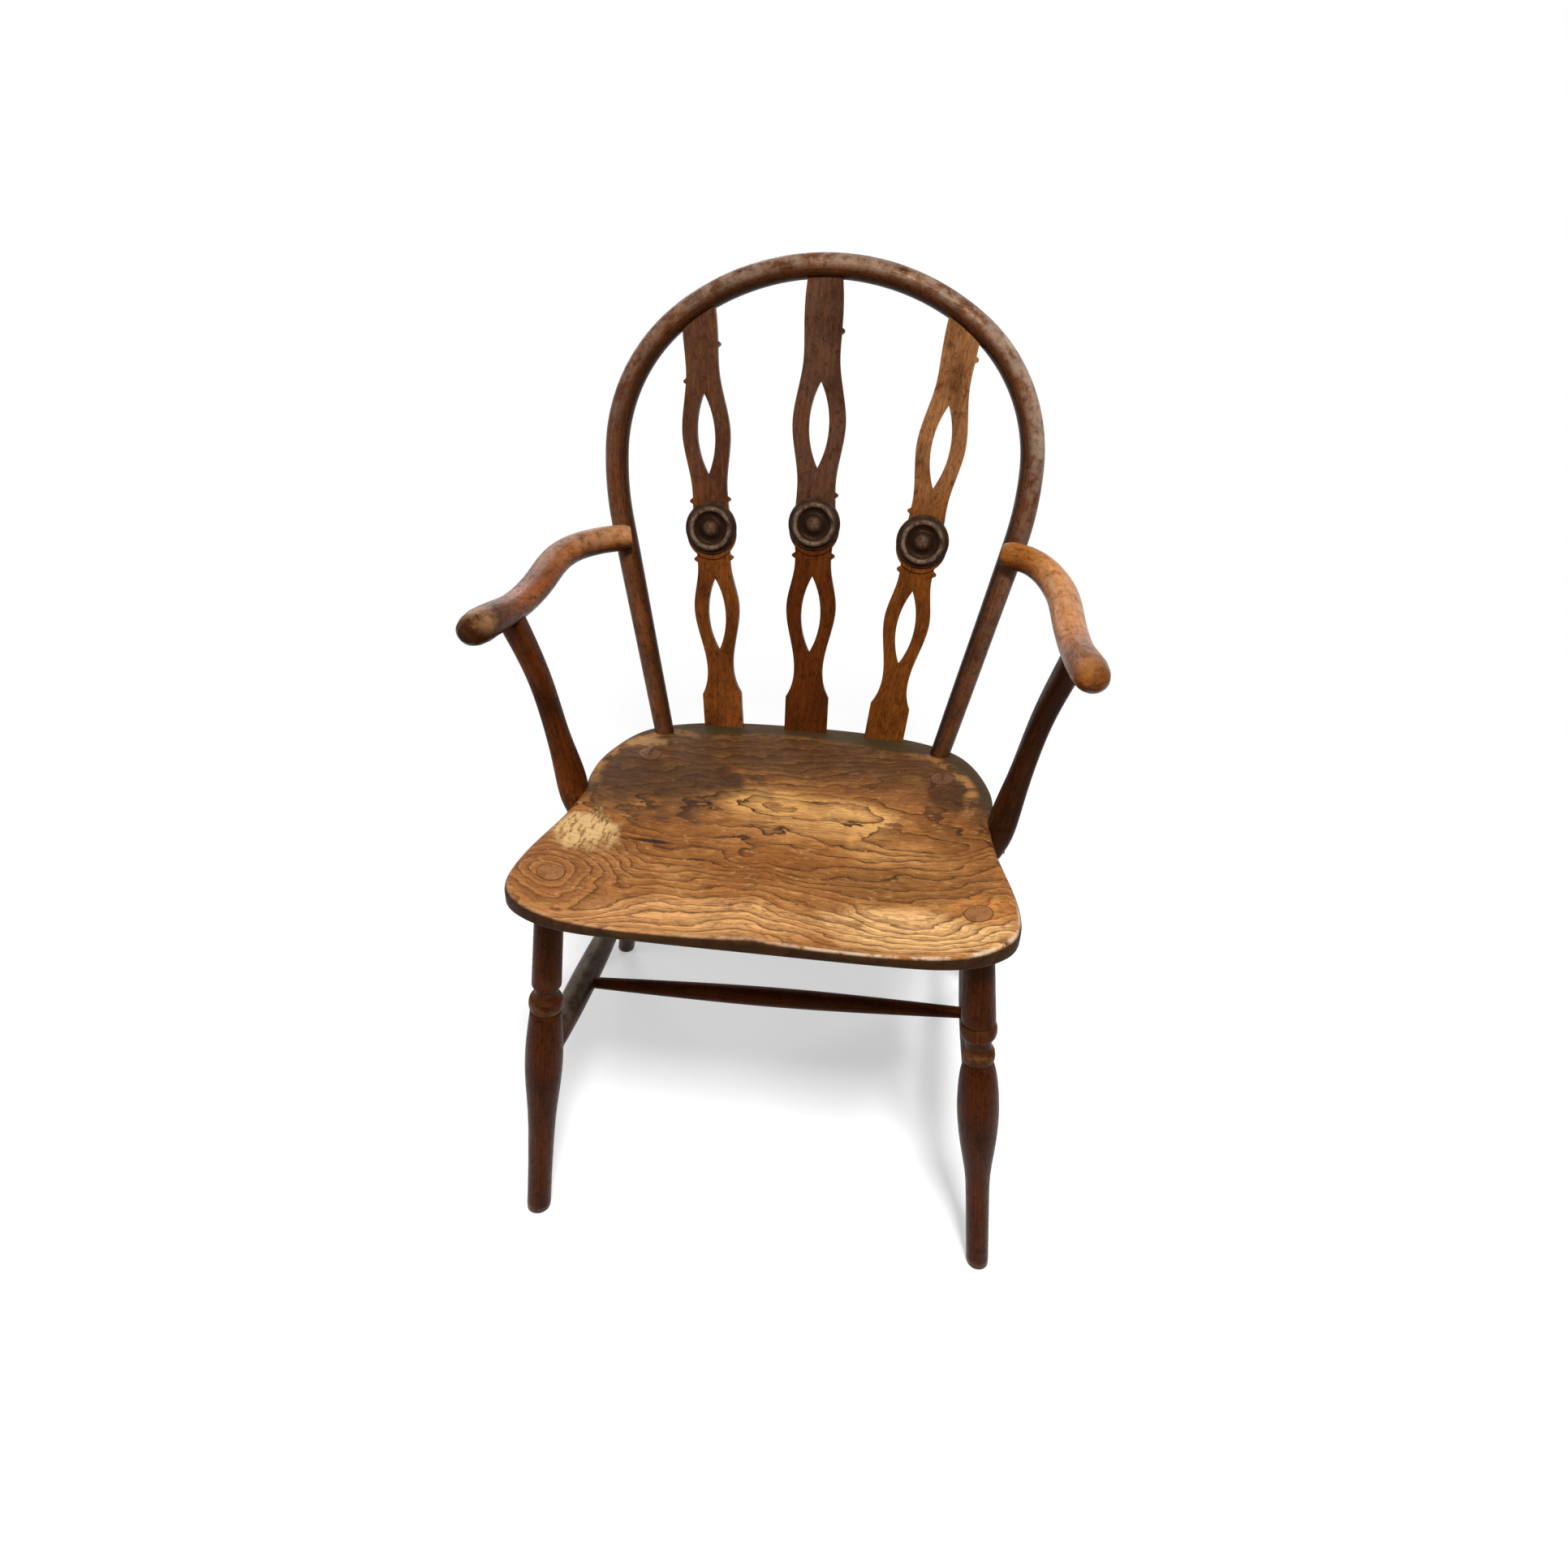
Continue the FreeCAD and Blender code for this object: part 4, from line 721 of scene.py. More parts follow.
body = n.layers(
    body, (late * 0.55, umber), (faint * (0.4 - figured * 0.3), umber), (line * broken, shade),
    (n.span(fibre, 0.42, 0.72) * 0.4, umber), (flecks * 0.5, shade),
    (n.span(fine, 0.52, 0.7) * 0.45, umber), (n.span(patchy, 0.52, 0.72) * 0.5, umber),
    (n.span(fine, 0.44, 0.3) * 0.35, rgb(226, 180, 120)))
print("seat tones", len(SEAT_TONES))

# %% [markdown]
# Age lies over the figure. The rear is darkened by multiplying, so that the rings still show through,
# and the band behind the ridge keeps a dark, slightly green stain. The ridge and the front lip are
# rubbed pale, with a painted highlight along them, dirt sits in a slit, and a scratched pale patch
# remains at the left waist. The side and the bevel below the rim are painted nearly black: painted
# shade over the darker sawn wood.

# %% Elm age
DIRT_TINT = (0.12, 0.13, 0.2, 1)
BOWL_OVAL = (1 / (BOWL[2] * MM), 1 / (BOWL[3] * MM), 0)
ragged = (n.noise(plank, 16, 4) - 0.5) * 0.5
corner = n.span(n.math("ABSOLUTE", side_way), 0.09, 0.15) * 1.5
from_bowl = n.vector("MULTIPLY", n.turned(plank, at=(0.008, -BOWL[1] * MM, 0)), BOWL_OVAL)
rear_way = n.vector("LENGTH", from_bowl) - corner * (back_way - 0.058)    # 1 on the ridge behind the bowl
behind = n.span(back_way, 0.0, 0.07)

back_dark = n.span(back_way * 10 + ragged, 0.5, 1.3)
dirt = n.math("MAXIMUM", back_dark * 0.85, spot(-140, 62, 100, 76, 0.5, 18) * 0.95)
dirt = n.math("MAXIMUM", dirt, spot(176, 84, 48, 56, 0.5, 18) * 0.9) * n.span(patchy, 0.66, 0.3, 0.75, 1.0)
body = n.blend(dirt, body, DIRT_TINT, "MULTIPLY")

band = behind * n.span(rear_way + ragged * 0.06, 1.03, 1.09)
# A pale line along the ridge: rubbed wear with a painted highlight.
ridge_wear_and_highlight = n.span(rear_way, 0.97, 1.02) * n.span(rear_way, 1.08, 1.04)
ridge_wear_and_highlight = ridge_wear_and_highlight * behind * n.span(patchy, 0.4, 0.58)
at_side = n.span(n.math("ABSOLUTE", side_way), 0.10, 0.16, 0.12, 0.7)
edge_down = n.stored("down_rim")
# A pale line along the front lip: rubbed wear with a painted highlight.
lip_wear_and_highlight = n.span(edge_down, 0.0008, 0.0022) * n.span(edge_down, 0.006, 0.0035)
lip_wear_and_highlight = lip_wear_and_highlight * n.span(back_way, -0.09, -0.15)
lip_wear_and_highlight = lip_wear_and_highlight * (n.span(side_way, -0.08, 0.14, 0.15, 0.8) * n.span(patchy, 0.4, 0.56))
# Painted shade: the side, the bevel and the underside turn nearly black.
below_rim_shade = n.span(edge_down + ragged * 0.002, 0.0024, 0.005)
scratched = n.noise(n.turned(plank, angles=(0, 0, 0.35), scale=(1, 0.22, 1)), 250, 2, 0.6)
patch = spot(-174, -64, 28, 36, 0.45, 44) * n.span(scratched, 0.42, 0.5, 0.25, 1.0)
body = n.layers(
    body, (dirt * 0.4, rgb(70, 45, 27)), (spot(-166, 134, 26, 12, 0.8, 60) * 0.5, rgb(190, 146, 100)),
    (band * 0.82, rgb(58, 47, 29)), (ridge_wear_and_highlight * at_side, rgb(176, 124, 70)), (lip_wear_and_highlight, rgb(214, 188, 160)),
    (below_rim_shade * 0.94, rgb(32, 17, 8)), (spot(-114, -61, 24, 3.4, 0.15, 90) * 0.9, rgb(28, 17, 10)),
    (patch * 0.85, rgb(214, 178, 122)))
shine = n.span(soft + fine * 0.6, 0.4, 1.1, 0.46, 0.68)
n.finish(body, shine, fibre * 0.4 + (flecks + late) * -0.6 + fine * 0.5, 0.0006, gloss=0.07)
settle(seat, "seat", elm)

# %% [markdown]
# ## Turned legs
#
# A lathe makes surfaces of revolution, so each leg is a profile of radius against height, spun round
# its own raked line. The beads and coves are arcs and the plain lengths straight. At the floor each
# point slides along the leg's line to the level cut, and the tenon comes up flush in the seat.

# %% Turned profiles


def straight(low, high, low_r, high_r, count=3):
    """Heights and radii of a plain or tapered length."""
    return np.column_stack([np.linspace(low, high, count), np.linspace(low_r, high_r, count)])


def half_round(low, high, edge_r, middle_r, count=14):
    """Half ellipse between two heights: a bead where its middle is thicker, a cove where thinner."""
    around = np.linspace(0, np.pi, count)
    return np.column_stack([low + (high - low) * (1 - np.cos(around)) / 2,
                            edge_r + (middle_r - edge_r) * np.sin(around)])


ONE_BEAD = np.vstack([
    [(0.0, 12.0)],
    smooth_path([(8, 12.3), (60, 12.3), (100, 12.8), (141, 14.0), (178, 16.4), (212, 17.9), (246, 17.0),
                 (281, 14.4)], 60),
    straight(281.5, 282.5, 13.4, 13.2), half_round(283, 298, 13.4, 15.8),
    straight(298.5, 300, 13.0, 11.8), half_round(300.5, 311, 11.6, 10.4),
    straight(311.5, 313.5, 12.6, 13.6), straight(314, 425, 13.6, 12.5, 24)])
TWO_BEADS = np.vstack([
    [(0.0, 10.9)],
    smooth_path([(8, 11.2), (60, 11.3), (100, 11.4), (132, 12.4), (166, 16.0), (196, 18.5), (222, 19.2),
                 (250, 17.8), (266, 15.8), (278.5, 12.8)], 60),
    half_round(279, 292, 12.6, 14.9), half_round(292.5, 306.5, 12.8, 11.6),
    half_round(307, 323.5, 13.0, 16.5), straight(324, 326, 13.6, 15.2),
    straight(326.5, 425, 15.2, 12.6, 24)])
print("profile rings", len(ONE_BEAD), len(TWO_BEADS))

# %% [markdown]
# The tenon's end is a few more rings on the same leg. They follow the hollowed top of the seat and
# stand a hair above it, and a stored value marks them as end grain.

# %% Four legs
LEGS = {"front": ((231.0, -142.0), (180.0, -140.0)), "rear": ((247.0, 286.0), (153.0, 106.0))}
LEG_SIDES = 72
TENON_PROUD, TENON_OVAL, END_GRAIN_RINGS = 0.16, 1.1, 3
TENON_RINGS = np.array([             # radius, and lift above the hollowed top
    (12.0, -6.0), (12.0, -0.15), (11.82, 0.12),
    (10.56, TENON_PROUD), (4.8, TENON_PROUD), (0.8, TENON_PROUD)])
TENON_GRAIN = 20                    # grain length from the leg's last ring to its end
LEG_WEAR_UP = [0, 4, 14, 280, 284, 291, 297, 325, 330, 425]
LEG_WEAR = [0.5, 0.3, 0, 0, 0.1, 0.4, 0.1, 0.1, 0, 0]


def leg_line(word, side):
    """Ends of a leg's middle line: its foot on the floor and its tenon on the plank's flat top."""
    foot, tenon = LEGS[word]
    return np.array([side * foot[0], foot[1], 0.0]), on_seat(side * tenon[0], tenon[1], 0.0)


def turned_leg(name, node, word, side, profile, finish):
    """Lathe profile spun round the line from foot to tenon, cut level at the floor, flush in the seat."""
    low, high = leg_line(word, side)
    tenon_x, tenon_y = side * LEGS[word][1][0], LEGS[word][1][1]
    direction = unit(high - low)
    cross = unit(np.cross(direction, [0, 1, 0]))
    angle = steps_round(LEG_SIDES)
    heights, radii = profile.T
    rings, grain = carried(low + direction * heights[:, None], (cross, np.cross(cross, direction)),
                           radii[:, None] * np.cos(angle), radii[:, None] * np.sin(angle), heights)
    rings[0] -= direction * (rings[0, :, 2] / direction[2])[:, None]
    radius, lift = TENON_RINGS.T[..., None]
    x = tenon_x + radius * np.cos(angle)
    y = tenon_y + TENON_OVAL * radius * np.sin(angle)
    end = heights[-1] + TENON_GRAIN
    disc_grain = np.broadcast_arrays(radius * np.cos(angle), radius * np.sin(angle), end)
    rings = np.concatenate([rings, on_seat(x, y, lift - hollow(x, y))])
    grain = np.concatenate([grain, np.stack(disc_grain, -1)])
    tip = on_seat(tenon_x, tenon_y, TENON_PROUD - hollow(tenon_x, tenon_y))
    wear = np.append(np.interp(heights, LEG_WEAR_UP, LEG_WEAR), np.zeros(len(TENON_RINGS)))[:, None]
    piece = closed_tube(name, rings, grain, (low, tip), ((0, 0, 0), (0, 0, end)), wear)
    is_end = np.arange(len(rings)) >= len(rings) - END_GRAIN_RINGS
    store(piece.data, "cap", np.append(np.repeat(is_end, LEG_SIDES), [0, 1]))
    settle(piece, node, finish)


turned_leg("leg_front_left", "front_leg_left", "front", -1, ONE_BEAD, leg_finish)
turned_leg("leg_front_right", "front_leg_right", "front", 1, TWO_BEADS, leg_finish)
turned_leg("leg_rear_left", "rear_leg_left", "rear", -1, TWO_BEADS, rear_leg_finish)
turned_leg("leg_rear_right", "rear_leg_right", "rear", 1, TWO_BEADS, rear_leg_finish)

# %% [markdown]
# ## Stretchers
#
# Three thin rails stop the legs from spreading. Each side rail swells to its thickest where the cross
# rail joins it. The ends run into the legs, so their discs are never seen.

# %% Rails
SIDE_RAIL_UP = {"front": 216.0, "rear": 170.0}
CROSS_ALONG = {-1: 0.365, 1: 0.415}
SIDE_RADII = [(0, 10.5), (0.18, 13.1), (0.37, 14.0), (0.6, 12.6), (0.85, 9.0), (1, 7.2)]
CROSS_RADII = [(0, 5.6), (0.2, 8.2), (0.5, 10.4), (0.8, 8.2), (1, 5.6)]
# Painted highlight: how much paler the side rails' upper side is painted.
SIDE_TOP_HIGHLIGHT = 0.75
SPREAD = 1000                       # shares are spread so far that a smooth curve keeps their steps


def leg_point(word, side, up):
    """Point of a leg's middle line at a height above the floor."""
    low, high = leg_line(word, side)
    return low + (high - low) * (up / high[2])


def turned_rail(name, node, start, end, radii, finish, top_highlight=0.0):
    """Profile of radius against share of the length, spun round the straight line between two points."""
    direction = unit(end - start)
    cross = unit(np.cross(direction, [0, 0, 1]))
    other = np.cross(cross, direction)
    share, angle = np.linspace(0, 1, 90), steps_round(56)
    curve = smooth_path([(s * SPREAD, r) for s, r in radii], 400)
    size = np.interp(share * SPREAD, curve[:, 0], curve[:, 1])[:, None]
    length = share * np.linalg.norm(end - start)
    rings, grain = carried(start + direction * length[:, None], (cross, other),
                           size * np.cos(angle), size * np.sin(angle), length)
    upward = cross[2] * np.cos(angle) + other[2] * np.sin(angle)
    # The upper side is painted paler as a highlight.
    wear = np.clip(upward * 1.6 - 0.7, 0, 1) * top_highlight
    piece = closed_tube(name, rings, grain, (start, end), ((0, 0, 0), (0, 0, length[-1])), wear)
    settle(piece, node, finish)


cross_ends = []
for side, word in ((-1, "left"), (1, "right")):
    front, rear = (leg_point(end, side, SIDE_RAIL_UP[end]) for end in ("front", "rear"))
    cross_ends.append(front + (rear - front) * CROSS_ALONG[side])
    turned_rail("rail_" + word, "side_stretcher_" + word, front, rear, SIDE_RADII, rail_finish, SIDE_TOP_HIGHLIGHT)
turned_rail("rail_cross", "cross_stretcher", *cross_ends, CROSS_RADII, leg_finish)

# %% [markdown]
# ## Bow
#
# The bow is one rod steamed and bent round a form. Its line is made of straight legs and tangent
# arcs: haunch, shoulder and crown. The line is walked in even steps and a circle is carried along it,
# slimmer at the feet. Its front is rubbed pale over the crest, and a painted highlight adds to that
# pale most at the right shoulder. Painted shade darkens its inner side, and a painted shadow darkens
# its right foot, where the arm shades it.

# %% Bow line
BOW_UP = np.array([0, math.sin(RECLINE), math.cos(RECLINE)])
BOW_NORMAL = np.array([0, -math.cos(RECLINE), math.sin(RECLINE)])
BOW_ORIGIN = on_seat(0, 164.0, 0)
BOW_FOOT_HALF, BOW_HALF_WIDTH, BOW_WIDEST_UP, BOW_TOP_UP = 151.0, 215.0, 298.0, 483.0
BOW_TENON = 16.0
HAUNCH_R, SHOULDER_R = 320.0, 170.0


def on_bow(x, up):
    """Point of the bow's leaning plane: x to the right and up from the seat's top."""
    return BOW_ORIGIN + np.multiply.outer(x, [1, 0, 0]) + np.multiply.outer(up, BOW_UP)


def arc(centre_x, centre_up, radius, start, end, count):
    """Points of an arc after its first one: centre + radius * (cos a, sin a)."""
    a = np.linspace(start, end, count)[1:]
    return np.column_stack([centre_x + radius * np.cos(a), centre_up + radius * np.sin(a)])


def bow_line(count):
    """Right half as straight leg and three tangent arcs, then its mirror image, evenly spaced."""
    to_x, to_up = BOW_HALF_WIDTH - HAUNCH_R - BOW_FOOT_HALF, BOW_WIDEST_UP
    away = math.hypot(to_x, to_up)
    touch = math.asin(HAUNCH_R / away)
    slope = math.atan2(to_up, to_x) - touch
    walk = np.linspace(-BOW_TENON, away * math.cos(touch), 60)
    leg = np.column_stack([BOW_FOOT_HALF + walk * math.cos(slope), walk * math.sin(slope)])
    across, rise = BOW_HALF_WIDTH - SHOULDER_R, BOW_TOP_UP - BOW_WIDEST_UP
    crown = (across ** 2 + rise ** 2 - SHOULDER_R ** 2) / (2 * (rise - SHOULDER_R))
    joint = math.atan2(BOW_WIDEST_UP - (BOW_TOP_UP - crown), across)
    half = np.vstack([
        leg, arc(BOW_HALF_WIDTH - HAUNCH_R, BOW_WIDEST_UP, HAUNCH_R, slope - math.pi / 2, 0, 30),
        arc(across, BOW_WIDEST_UP, SHOULDER_R, 0, joint, 60),
        arc(0, BOW_TOP_UP - crown, crown, joint, math.pi / 2, 60)])
    return evenly(np.vstack([half, half[-2::-1] * [-1, 1]]), count)


bow_x, bow_up, bow_length = bow_line(420)
bow_path = on_bow(bow_x, bow_up)
print("bow", round(bow_length[-1]), "mm long")

# %% [markdown]
# A circle needs two axes at each step: the bow's own normal, and the direction away from the middle of
# the back. The radius wavers by a fifth of a millimetre, as a rod shaped by hand does.

# %% Bow rod
BOW_R, BOW_FOOT_R, BOW_FULL_UP, BOW_WAVER = 12.2, 10.2, 221, 0.18
BACK_MIDDLE_UP = 260.0
# The right crest's wear includes a painted highlight at the shoulder; the right foot gets a painted shadow.
RIGHT_WEAR_AND_HIGHLIGHT = ([0, 260, 330, 460, 483], [0.05, 0.3, 1.0, 0.75, 0.7])
LEFT_WEAR = ([0, 300, 400, 483], [0.1, 0.1, 0.45, 0.7])
RIGHT_FOOT_SHADOW = ([0, 180, 260], [0.5, 0.45, 0.0])

away = np.cross(BOW_NORMAL, unit(np.gradient(bow_path, axis=0)))
away *= np.sign(np.einsum("ij,ij->i", away, bow_path - on_bow(0.0, BACK_MIDDLE_UP)))[:, None]
c, s = np.cos(steps_round(64)), np.sin(steps_round(64))
radius = np.interp(bow_up, [0, BOW_FULL_UP], [BOW_FOOT_R, BOW_R])
radius = (radius + BOW_WAVER * np.sin(bow_length / 37) * np.sin(bow_length / 91))[:, None]
rings, grain = carried(bow_path, (away, BOW_NORMAL), radius * c, radius * s, bow_length)
# Pale on the front of the crest: rubbed wear and a painted highlight.
crest_wear_and_highlight = np.where(bow_x > 0, np.interp(bow_up, *RIGHT_WEAR_AND_HIGHLIGHT), np.interp(bow_up, *LEFT_WEAR))[:, None]
facing = np.clip(0.7 * c + 0.9 * s - 0.45, 0, 1)
# Painted shade on the inner side, and a painted shadow on the right foot.
inner_shade = np.clip(-0.9 * c - 0.1 * s, 0, 0.85)
right_foot_shadow = np.where(bow_x > 0, np.interp(bow_up, *RIGHT_FOOT_SHADOW), 0.0)[:, None]
soil = np.clip(inner_shade + right_foot_shadow * (1 - 0.8 * np.clip(s, 0, 1)), 0, 0.9)
bow = closed_tube("bow_rod", rings, grain, (bow_path[0], bow_path[-1]),
                  ((0, 0, 0), (0, 0, bow_length[-1])), crest_wear_and_highlight * facing, soil)
settle(bow, "bow", bow_finish)

# %% [markdown]
# ## Arms
#
# Each arm is bent from a slim billet: it laps on the bow, swings out round the elbow and ends in a
# rounded hand. An oval is carried along a smooth line through seven points. The grain bends with it.
# The hands are dark with handling. The elbows and the tips of the hands are rubbed pale, with a
# painted highlight along their tops, and painted shade darkens the undersides.

# %% Arms
ARM_WIDE, ARM_TALL, ARM_LAP, ARM_BACK_GAP = 29.0, 25.0, 5.0, 1.0
ARM_BACK_UP = {-1: 617.0, 1: 624.0}
ARM_POINTS = [(241.0, 168.0, 616.0), (246.0, 82.0, 613.0), (244.0, -6.0, 617.0), (243.0, -66.0, 628.0),
              (245.0, -99.0, 631.0)]
ARM_SHARES = [0, 0.02, 0.12, 0.26, 0.42, 0.58, 0.72, 0.84, 0.93, 0.965, 0.985, 1.0]
ARM_WIDTHS = [0.84, 0.97, 1.05, 1.08, 1.04, 1.0, 0.98, 1.0, 1.02, 0.95, 0.82, 0.5]
ARM_HEIGHTS = [0.90, 1.08, 1.06, 1.04, 1.0, 0.98, 1.0, 1.10, 1.16, 1.06, 0.9, 0.56]
HAND_SOIL, LAP_SOIL = {-1: 0.95, 1: 0.55}, {-1: 0.0, 1: 0.3}
# Pale along each arm's top: rubbed wear and a painted highlight, most at the elbow and the hand's tip.
ELBOW_SHARES = (0.0, 0.08, 0.2, 0.32, 0.5, 0.86, 0.95, 1.0)
ELBOW_WEAR_AND_HIGHLIGHT = {-1: (0.7, 0.6, 0.5, 0.25, 0.0, 0.0, 0.5, 0.1), 1: (0.1, 0.1, 0.4, 0.5, 0.35, 0.0, 0.3, 0.1)}
LEG_PROBE_UP = 200                  # the bow's leg is still straight here


def bow_leg_at(height):
    """Point of the bow's right leg at a height above the floor, on its straight line carried on."""
    low_x, high_x = (np.interp(up, bow_up[:200], bow_x[:200]) for up in (0, LEG_PROBE_UP))
    rise = (height - BOW_ORIGIN[2]) / BOW_UP[2]
    return on_bow(low_x + (high_x - low_x) * rise / LEG_PROBE_UP, rise)


def bent_piece(name, node, side, finish, path, axes, across, up, **surface):
    """Section carried along a path for the right side, or mirrored for the left one."""
    length = walked_to(path)
    rings, grain = carried(path, axes, across, up, length)
    mirror = np.array([side, 1, 1])
    piece = closed_tube(name, rings * mirror, grain, (path[0] * mirror, path[-1] * mirror),
                        ((0, 0, 0), (0, 0, length[-1])), **surface)
    settle(piece, node, finish)


def arm(name, node, side, finish):
    """Oval section carried along the arm's line, its taller axis upright."""
    lap_x, lap_y, _ = bow_leg_at(ARM_BACK_UP[side])
    lap_y += ARM_LAP - BOW_R - ARM_WIDE / 2
    points = [(lap_x - BOW_R + ARM_BACK_GAP, lap_y + 3, ARM_BACK_UP[side]),
              (lap_x + BOW_R, lap_y - 8, ARM_BACK_UP[side] - 1)] + ARM_POINTS
    path = smooth_path(points, 200)
    share = walked_to(path) / walked_to(path)[-1]
    c, s = np.cos(steps_round(64)), np.sin(steps_round(64))
    wide = (np.interp(share, ARM_SHARES, ARM_WIDTHS) * ARM_WIDE / 2)[:, None]
    tall = (np.interp(share, ARM_SHARES, ARM_HEIGHTS) * ARM_TALL / 2)[:, None]
    tangent = unit(np.gradient(path, axis=0))
    sideways = unit(np.cross(tangent, [0, 0, 1]))
    elbow_wear_and_highlight = np.interp(share, ELBOW_SHARES, ELBOW_WEAR_AND_HIGHLIGHT[side])[:, None]
    hand, lap = HAND_SOIL[side], LAP_SOIL[side]
    soil = np.interp(share, [0, 0.1, 0.2, 0.74, 0.88, 1], [lap, lap, 0.0, 0.0, hand * 0.8, hand])[:, None]
    bent_piece(name, node, side, finish, path, (sideways, np.cross(sideways, tangent)), wide * c, tall * s,
               # Pale top: wear and painted highlight; dark underside: painted shade.
               wear=elbow_wear_and_highlight * np.clip(s + 0.5 * c * (side < 0), 0, 1),
               soil=np.maximum(soil, np.clip(0.25 - s * 0.9, 0, 0.85)))


arm("arm_rest_left", "arm_left", -1, left_arm_finish)
arm("arm_rest_right", "arm_right", 1, right_arm_finish)

# %% [markdown]
# ## Arm posts
#
# A post is sawn square and its corners are softened by hand, so its section is a superellipse: the
# sum of the two coordinates' powers is one. It is widest at the foot, where it is let into the seat's
# edge, and slim below the arm. Its rounded corners are rubbed pale.

# %% Posts
SECTION_POWER = 3.2                 # 2 is an ellipse, and a high power is nearly a square
POST_FOOT_THICK, POST_HOUSED, POST_FOOT_BACK = 25.0, 3.0, 14.0
POST_PATH = [(217.0, 8.0, 490.0), (226.0, 2.0, 545.0), (241.0, -14.0, 617.0 - ARM_TALL * 0.25)]
POST_SECTIONS = [                   # share of the length, size front to back and size across
    (0.0, 19.2, 15.0), (0.1, 31.36, 23.5), (0.24, 29.44, 24.0), (0.4, 21.8, 20.5), (0.56, 21.0, 19.0),
    (0.8, 21.4, 19.4), (1.0, 23.9, 20.9)]


def post(name, node, side, finish):
    """Soft square section, a superellipse, carried along the post's line."""
    foot_x = SEAT_WAIST_HALF - POST_HOUSED + POST_FOOT_THICK / 2
    foot = [on_seat(foot_x - 5, POST_FOOT_BACK, 3 - SEAT_THICK), on_seat(foot_x, POST_FOOT_BACK - 1, 2)]
    path = smooth_path(np.vstack([foot, POST_PATH]), 120)
    share = walked_to(path) / walked_to(path)[-1]
    curve = smooth_path([(at * SPREAD, wide, thick) for at, wide, thick in POST_SECTIONS], 300)
    wide, thick = (np.interp(share * SPREAD, curve[:, 0], size)[:, None] / 2 for size in curve.T[1:])
    tangent = unit(np.gradient(path, axis=0))
    sideways = unit(np.array([1.0, 0, 0]) - tangent * tangent[:, :1])
    c, s = np.cos(steps_round(64)), np.sin(steps_round(64))
    swell = (np.abs(c) ** SECTION_POWER + np.abs(s) ** SECTION_POWER) ** (-1 / SECTION_POWER)
    bent_piece(name, node, side, finish, path, (sideways, np.cross(tangent, sideways)),
               thick * c * swell, wide * s * swell, wear=np.clip(swell - 1.12, 0, 1) * 2.2)


post("post_left", "arm_post_left", -1, left_post_finish)
post("post_right", "arm_post_right", 1, right_post_finish)

# %% [markdown]
# ## Splats, wedges and screws
#
# The splats are flat boards whose CAD solids already have the right sawn edge, so they keep their mesh
# and only get a finish. Their grain runs up the board, so the object coordinates are turned by the
# lean of the back before the rings are cut through them. Each board is greyer in its upper part.

# %% Finishes on CAD pieces
def dress(node, finish):
    """Give a CAD node a finish in every material slot it has."""
    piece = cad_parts[node]
    if not piece.data.materials:
        piece.data.materials.append(finish)
    for slot in piece.material_slots:
        slot.material = finish


SIDE_LEAN = math.radians(5.6)
SPLAT_WOODS = (                     # board, dark, main and pale tone, lean, seed, and tone further up
    ("left", (48, 20, 5), (112, 60, 22), (140, 80, 34), SIDE_LEAN, 0.17, ((80, 50, 36), 0.62, 0.68)),
    ("centre", (36, 14, 3), (80, 36, 8), (104, 52, 16), 0, 0.37, ((84, 55, 40), 0.60, 0.66)),
    ("right", (50, 22, 5), (112, 60, 18), (140, 82, 34), -SIDE_LEAN, 0.57, ((144, 96, 58), 0.62, 0.70)))
for word, dark, main, pale, lean, seed, upper in SPLAT_WOODS:
    dress("splat_" + word, wood(word + "_splat_wood", dark, main, pale, ring=6, mottle=22,
                                angles=(RECLINE, lean, 0), seed=seed, upper=upper))
wedge_finish = wood("wedge_wood", (70, 40, 20), (130, 86, 52), (150, 104, 66), ring=6, mottle=60,
                    angles=(0, 0, 0), seed=0.77)
dress("leg_wedges", wedge_finish)
dress("bow_wedges", wedge_finish)
print("boards dressed", [row[0] for row in SPLAT_WOODS])

# %% [markdown]
# The screws are old steel with a little rust in the scratches. They are small, so one finish with a
# speckled roughness is enough.

# %% Old steel
steel = bpy.data.materials.new("old_steel")
n = Nodes(steel)
rust = n.span(n.noise(n.on_object(), 420, 4, 0.65), 0.46, 0.62)
speckled = n.blend(rust, rgb(96, 90, 82), rgb(74, 44, 28))
n.finish(speckled, n.span(rust, 0, 1, 0.34, 0.7), rust, 0.0001, metal=0.85)
dress("arm_screws", steel)
dress("post_screws", steel)
print("screws dressed in", steel.name)

# %% [markdown]
# ## Roundels
#
# A roundel is turned on the face of a small disc: a rounded rim, one raised ring, a cove and a centre
# button. It is the profile spun round a line square to the splat. The crests of the ring and the
# button are rubbed pale, with a painted highlight, and the cove and the rim are darkened as painted
# shade.

# %% Turned bosses
SPLATS = {                          # foot on the seat, head on the bow, and share of the roundel's height
    "left": ((-89.5, 195.0), (-134.5, 434.0), 0.96), "centre": ((2.0, 199.0), (-8.0, BOW_TOP_UP), 1.0),
    "right": ((89.5, 195.0), (134.5, 434.0), 0.96)}
ROUNDEL_UP, BOARD_HALF, SCALLOP_THICK = 224.5, 4.0, 2.0
ROUNDEL_R, FLANGE, RING_R, RING_HALF, ROUNDEL_HIGH, COVE, BUTTON_R = 27.5, 2.6, 20.2, 4.2, 8.0, 3.6, 8.4
RING_FOOT = FLANGE + 0.4
# Painted shade in the cove and on the rim's side, by radius.
GROOVE_R, GROOVE_SHADE = [0, 8, 9, 15, 16.5, 24, 25.5, 28], [0, 0, 0.8, 0.8, 0.1, 0.1, 0.8, 0.6]


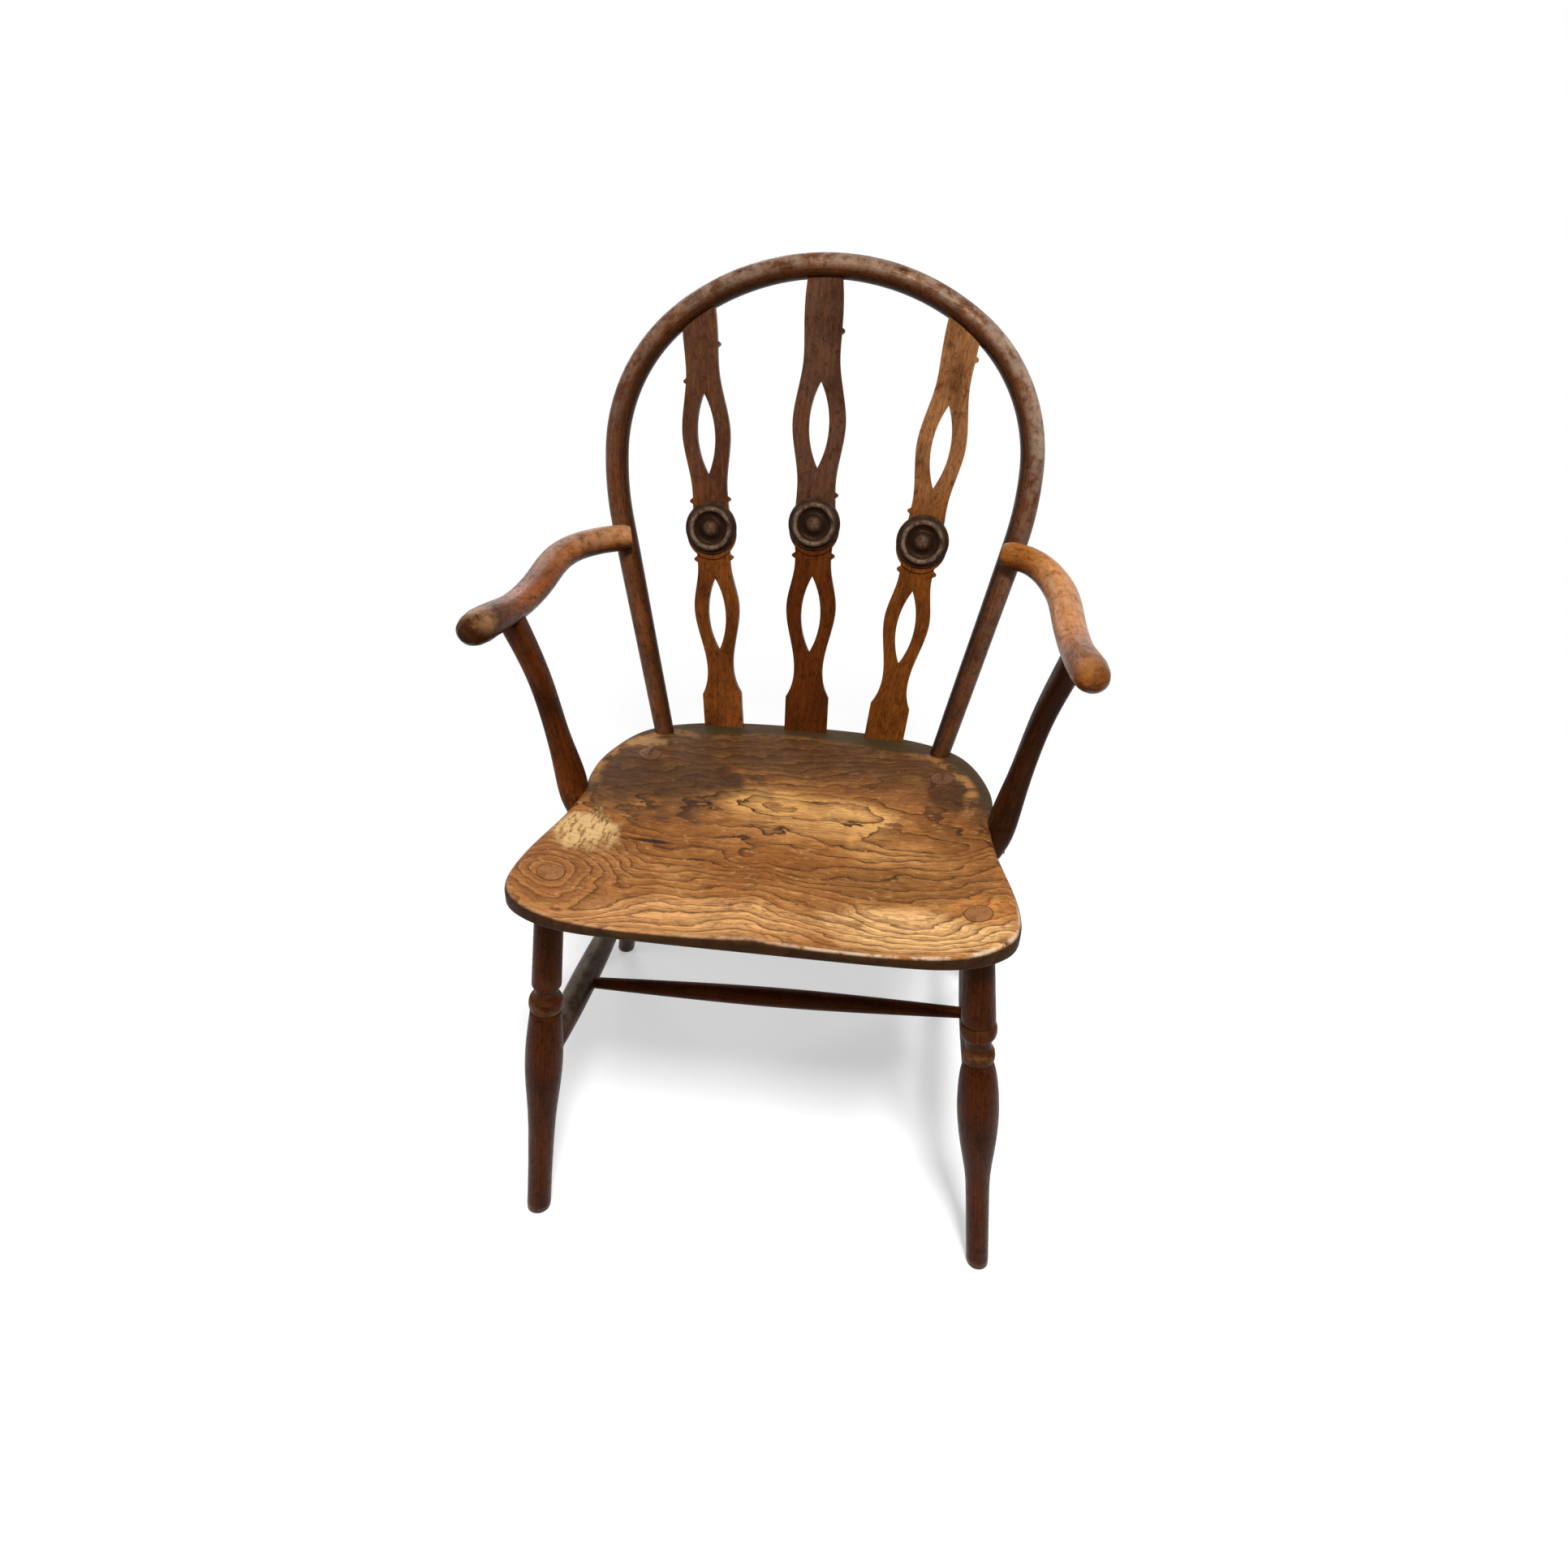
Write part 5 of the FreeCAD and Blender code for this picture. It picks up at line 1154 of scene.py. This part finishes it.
def roundel_profile():
    """Radius, height, and wear with painted highlight, from the back's centre, over rim, ring and cove, to
    the button's top.
    """
    t = np.linspace(0, 1, 15)
    half_turn, quarter = np.pi * t, np.pi * t / 2
    rim = np.column_stack([ROUNDEL_R - 1 + np.sin(half_turn), FLANGE * t, 0.1 + 0 * t])
    ring = np.column_stack([RING_R + RING_HALF * np.cos(half_turn),
                            RING_FOOT + (COVE - RING_FOOT) * t + (ROUNDEL_HIGH - 3.4) * np.sin(half_turn),
                            np.clip(np.sin(half_turn) * 2.4 - 1.9, 0, 0.5)])
    inner = RING_R - RING_HALF - 0.3
    cove = np.column_stack([inner + (BUTTON_R - inner) * t, COVE + t - 1.2 * np.sin(half_turn), 0 * t])
    button = np.column_stack([BUTTON_R * np.cos(quarter),
                              COVE + 1 + (ROUNDEL_HIGH - COVE - 1) * np.sin(quarter) ** 0.9,
                              np.clip(np.sin(quarter) * 1.2 - 0.85, 0, 0.35)])[:-1]
    return np.vstack([[ROUNDEL_R - 1.5, 0, 0], rim, ring, cove, button])


def roundel(word):
    """Profile spun round the splat's front normal at the roundel's place on the board."""
    foot_at, head_at, scale = SPLATS[word]
    foot, head = on_seat(*foot_at, 0.0), on_bow(*head_at)
    rise = unit(head - foot)
    sideways = unit(np.array([1.0, 0, 0]) - rise * rise[0])
    back = np.cross(rise, sideways)
    centre = foot + rise * ROUNDEL_UP * scale - back * (BOARD_HALF + SCALLOP_THICK)
    angle = steps_round(80)
    radius, high, worn_and_highlight = roundel_profile().T
    rings, grain = carried(centre - back * high[:, None], (sideways, rise),
                           radius[:, None] * np.cos(angle), radius[:, None] * np.sin(angle), high)
    piece = closed_tube("roundel_boss_" + word, rings, grain[..., [0, 2, 1]],
                        (centre, centre - back * ROUNDEL_HIGH), ((0, 0, 0), (0, ROUNDEL_HIGH, 0)),
                        worn_and_highlight[:, None], np.interp(radius, GROOVE_R, GROOVE_SHADE)[:, None])
    settle(piece, "roundel_" + word, boss_finish)


for word in SPLATS:
    roundel(word)
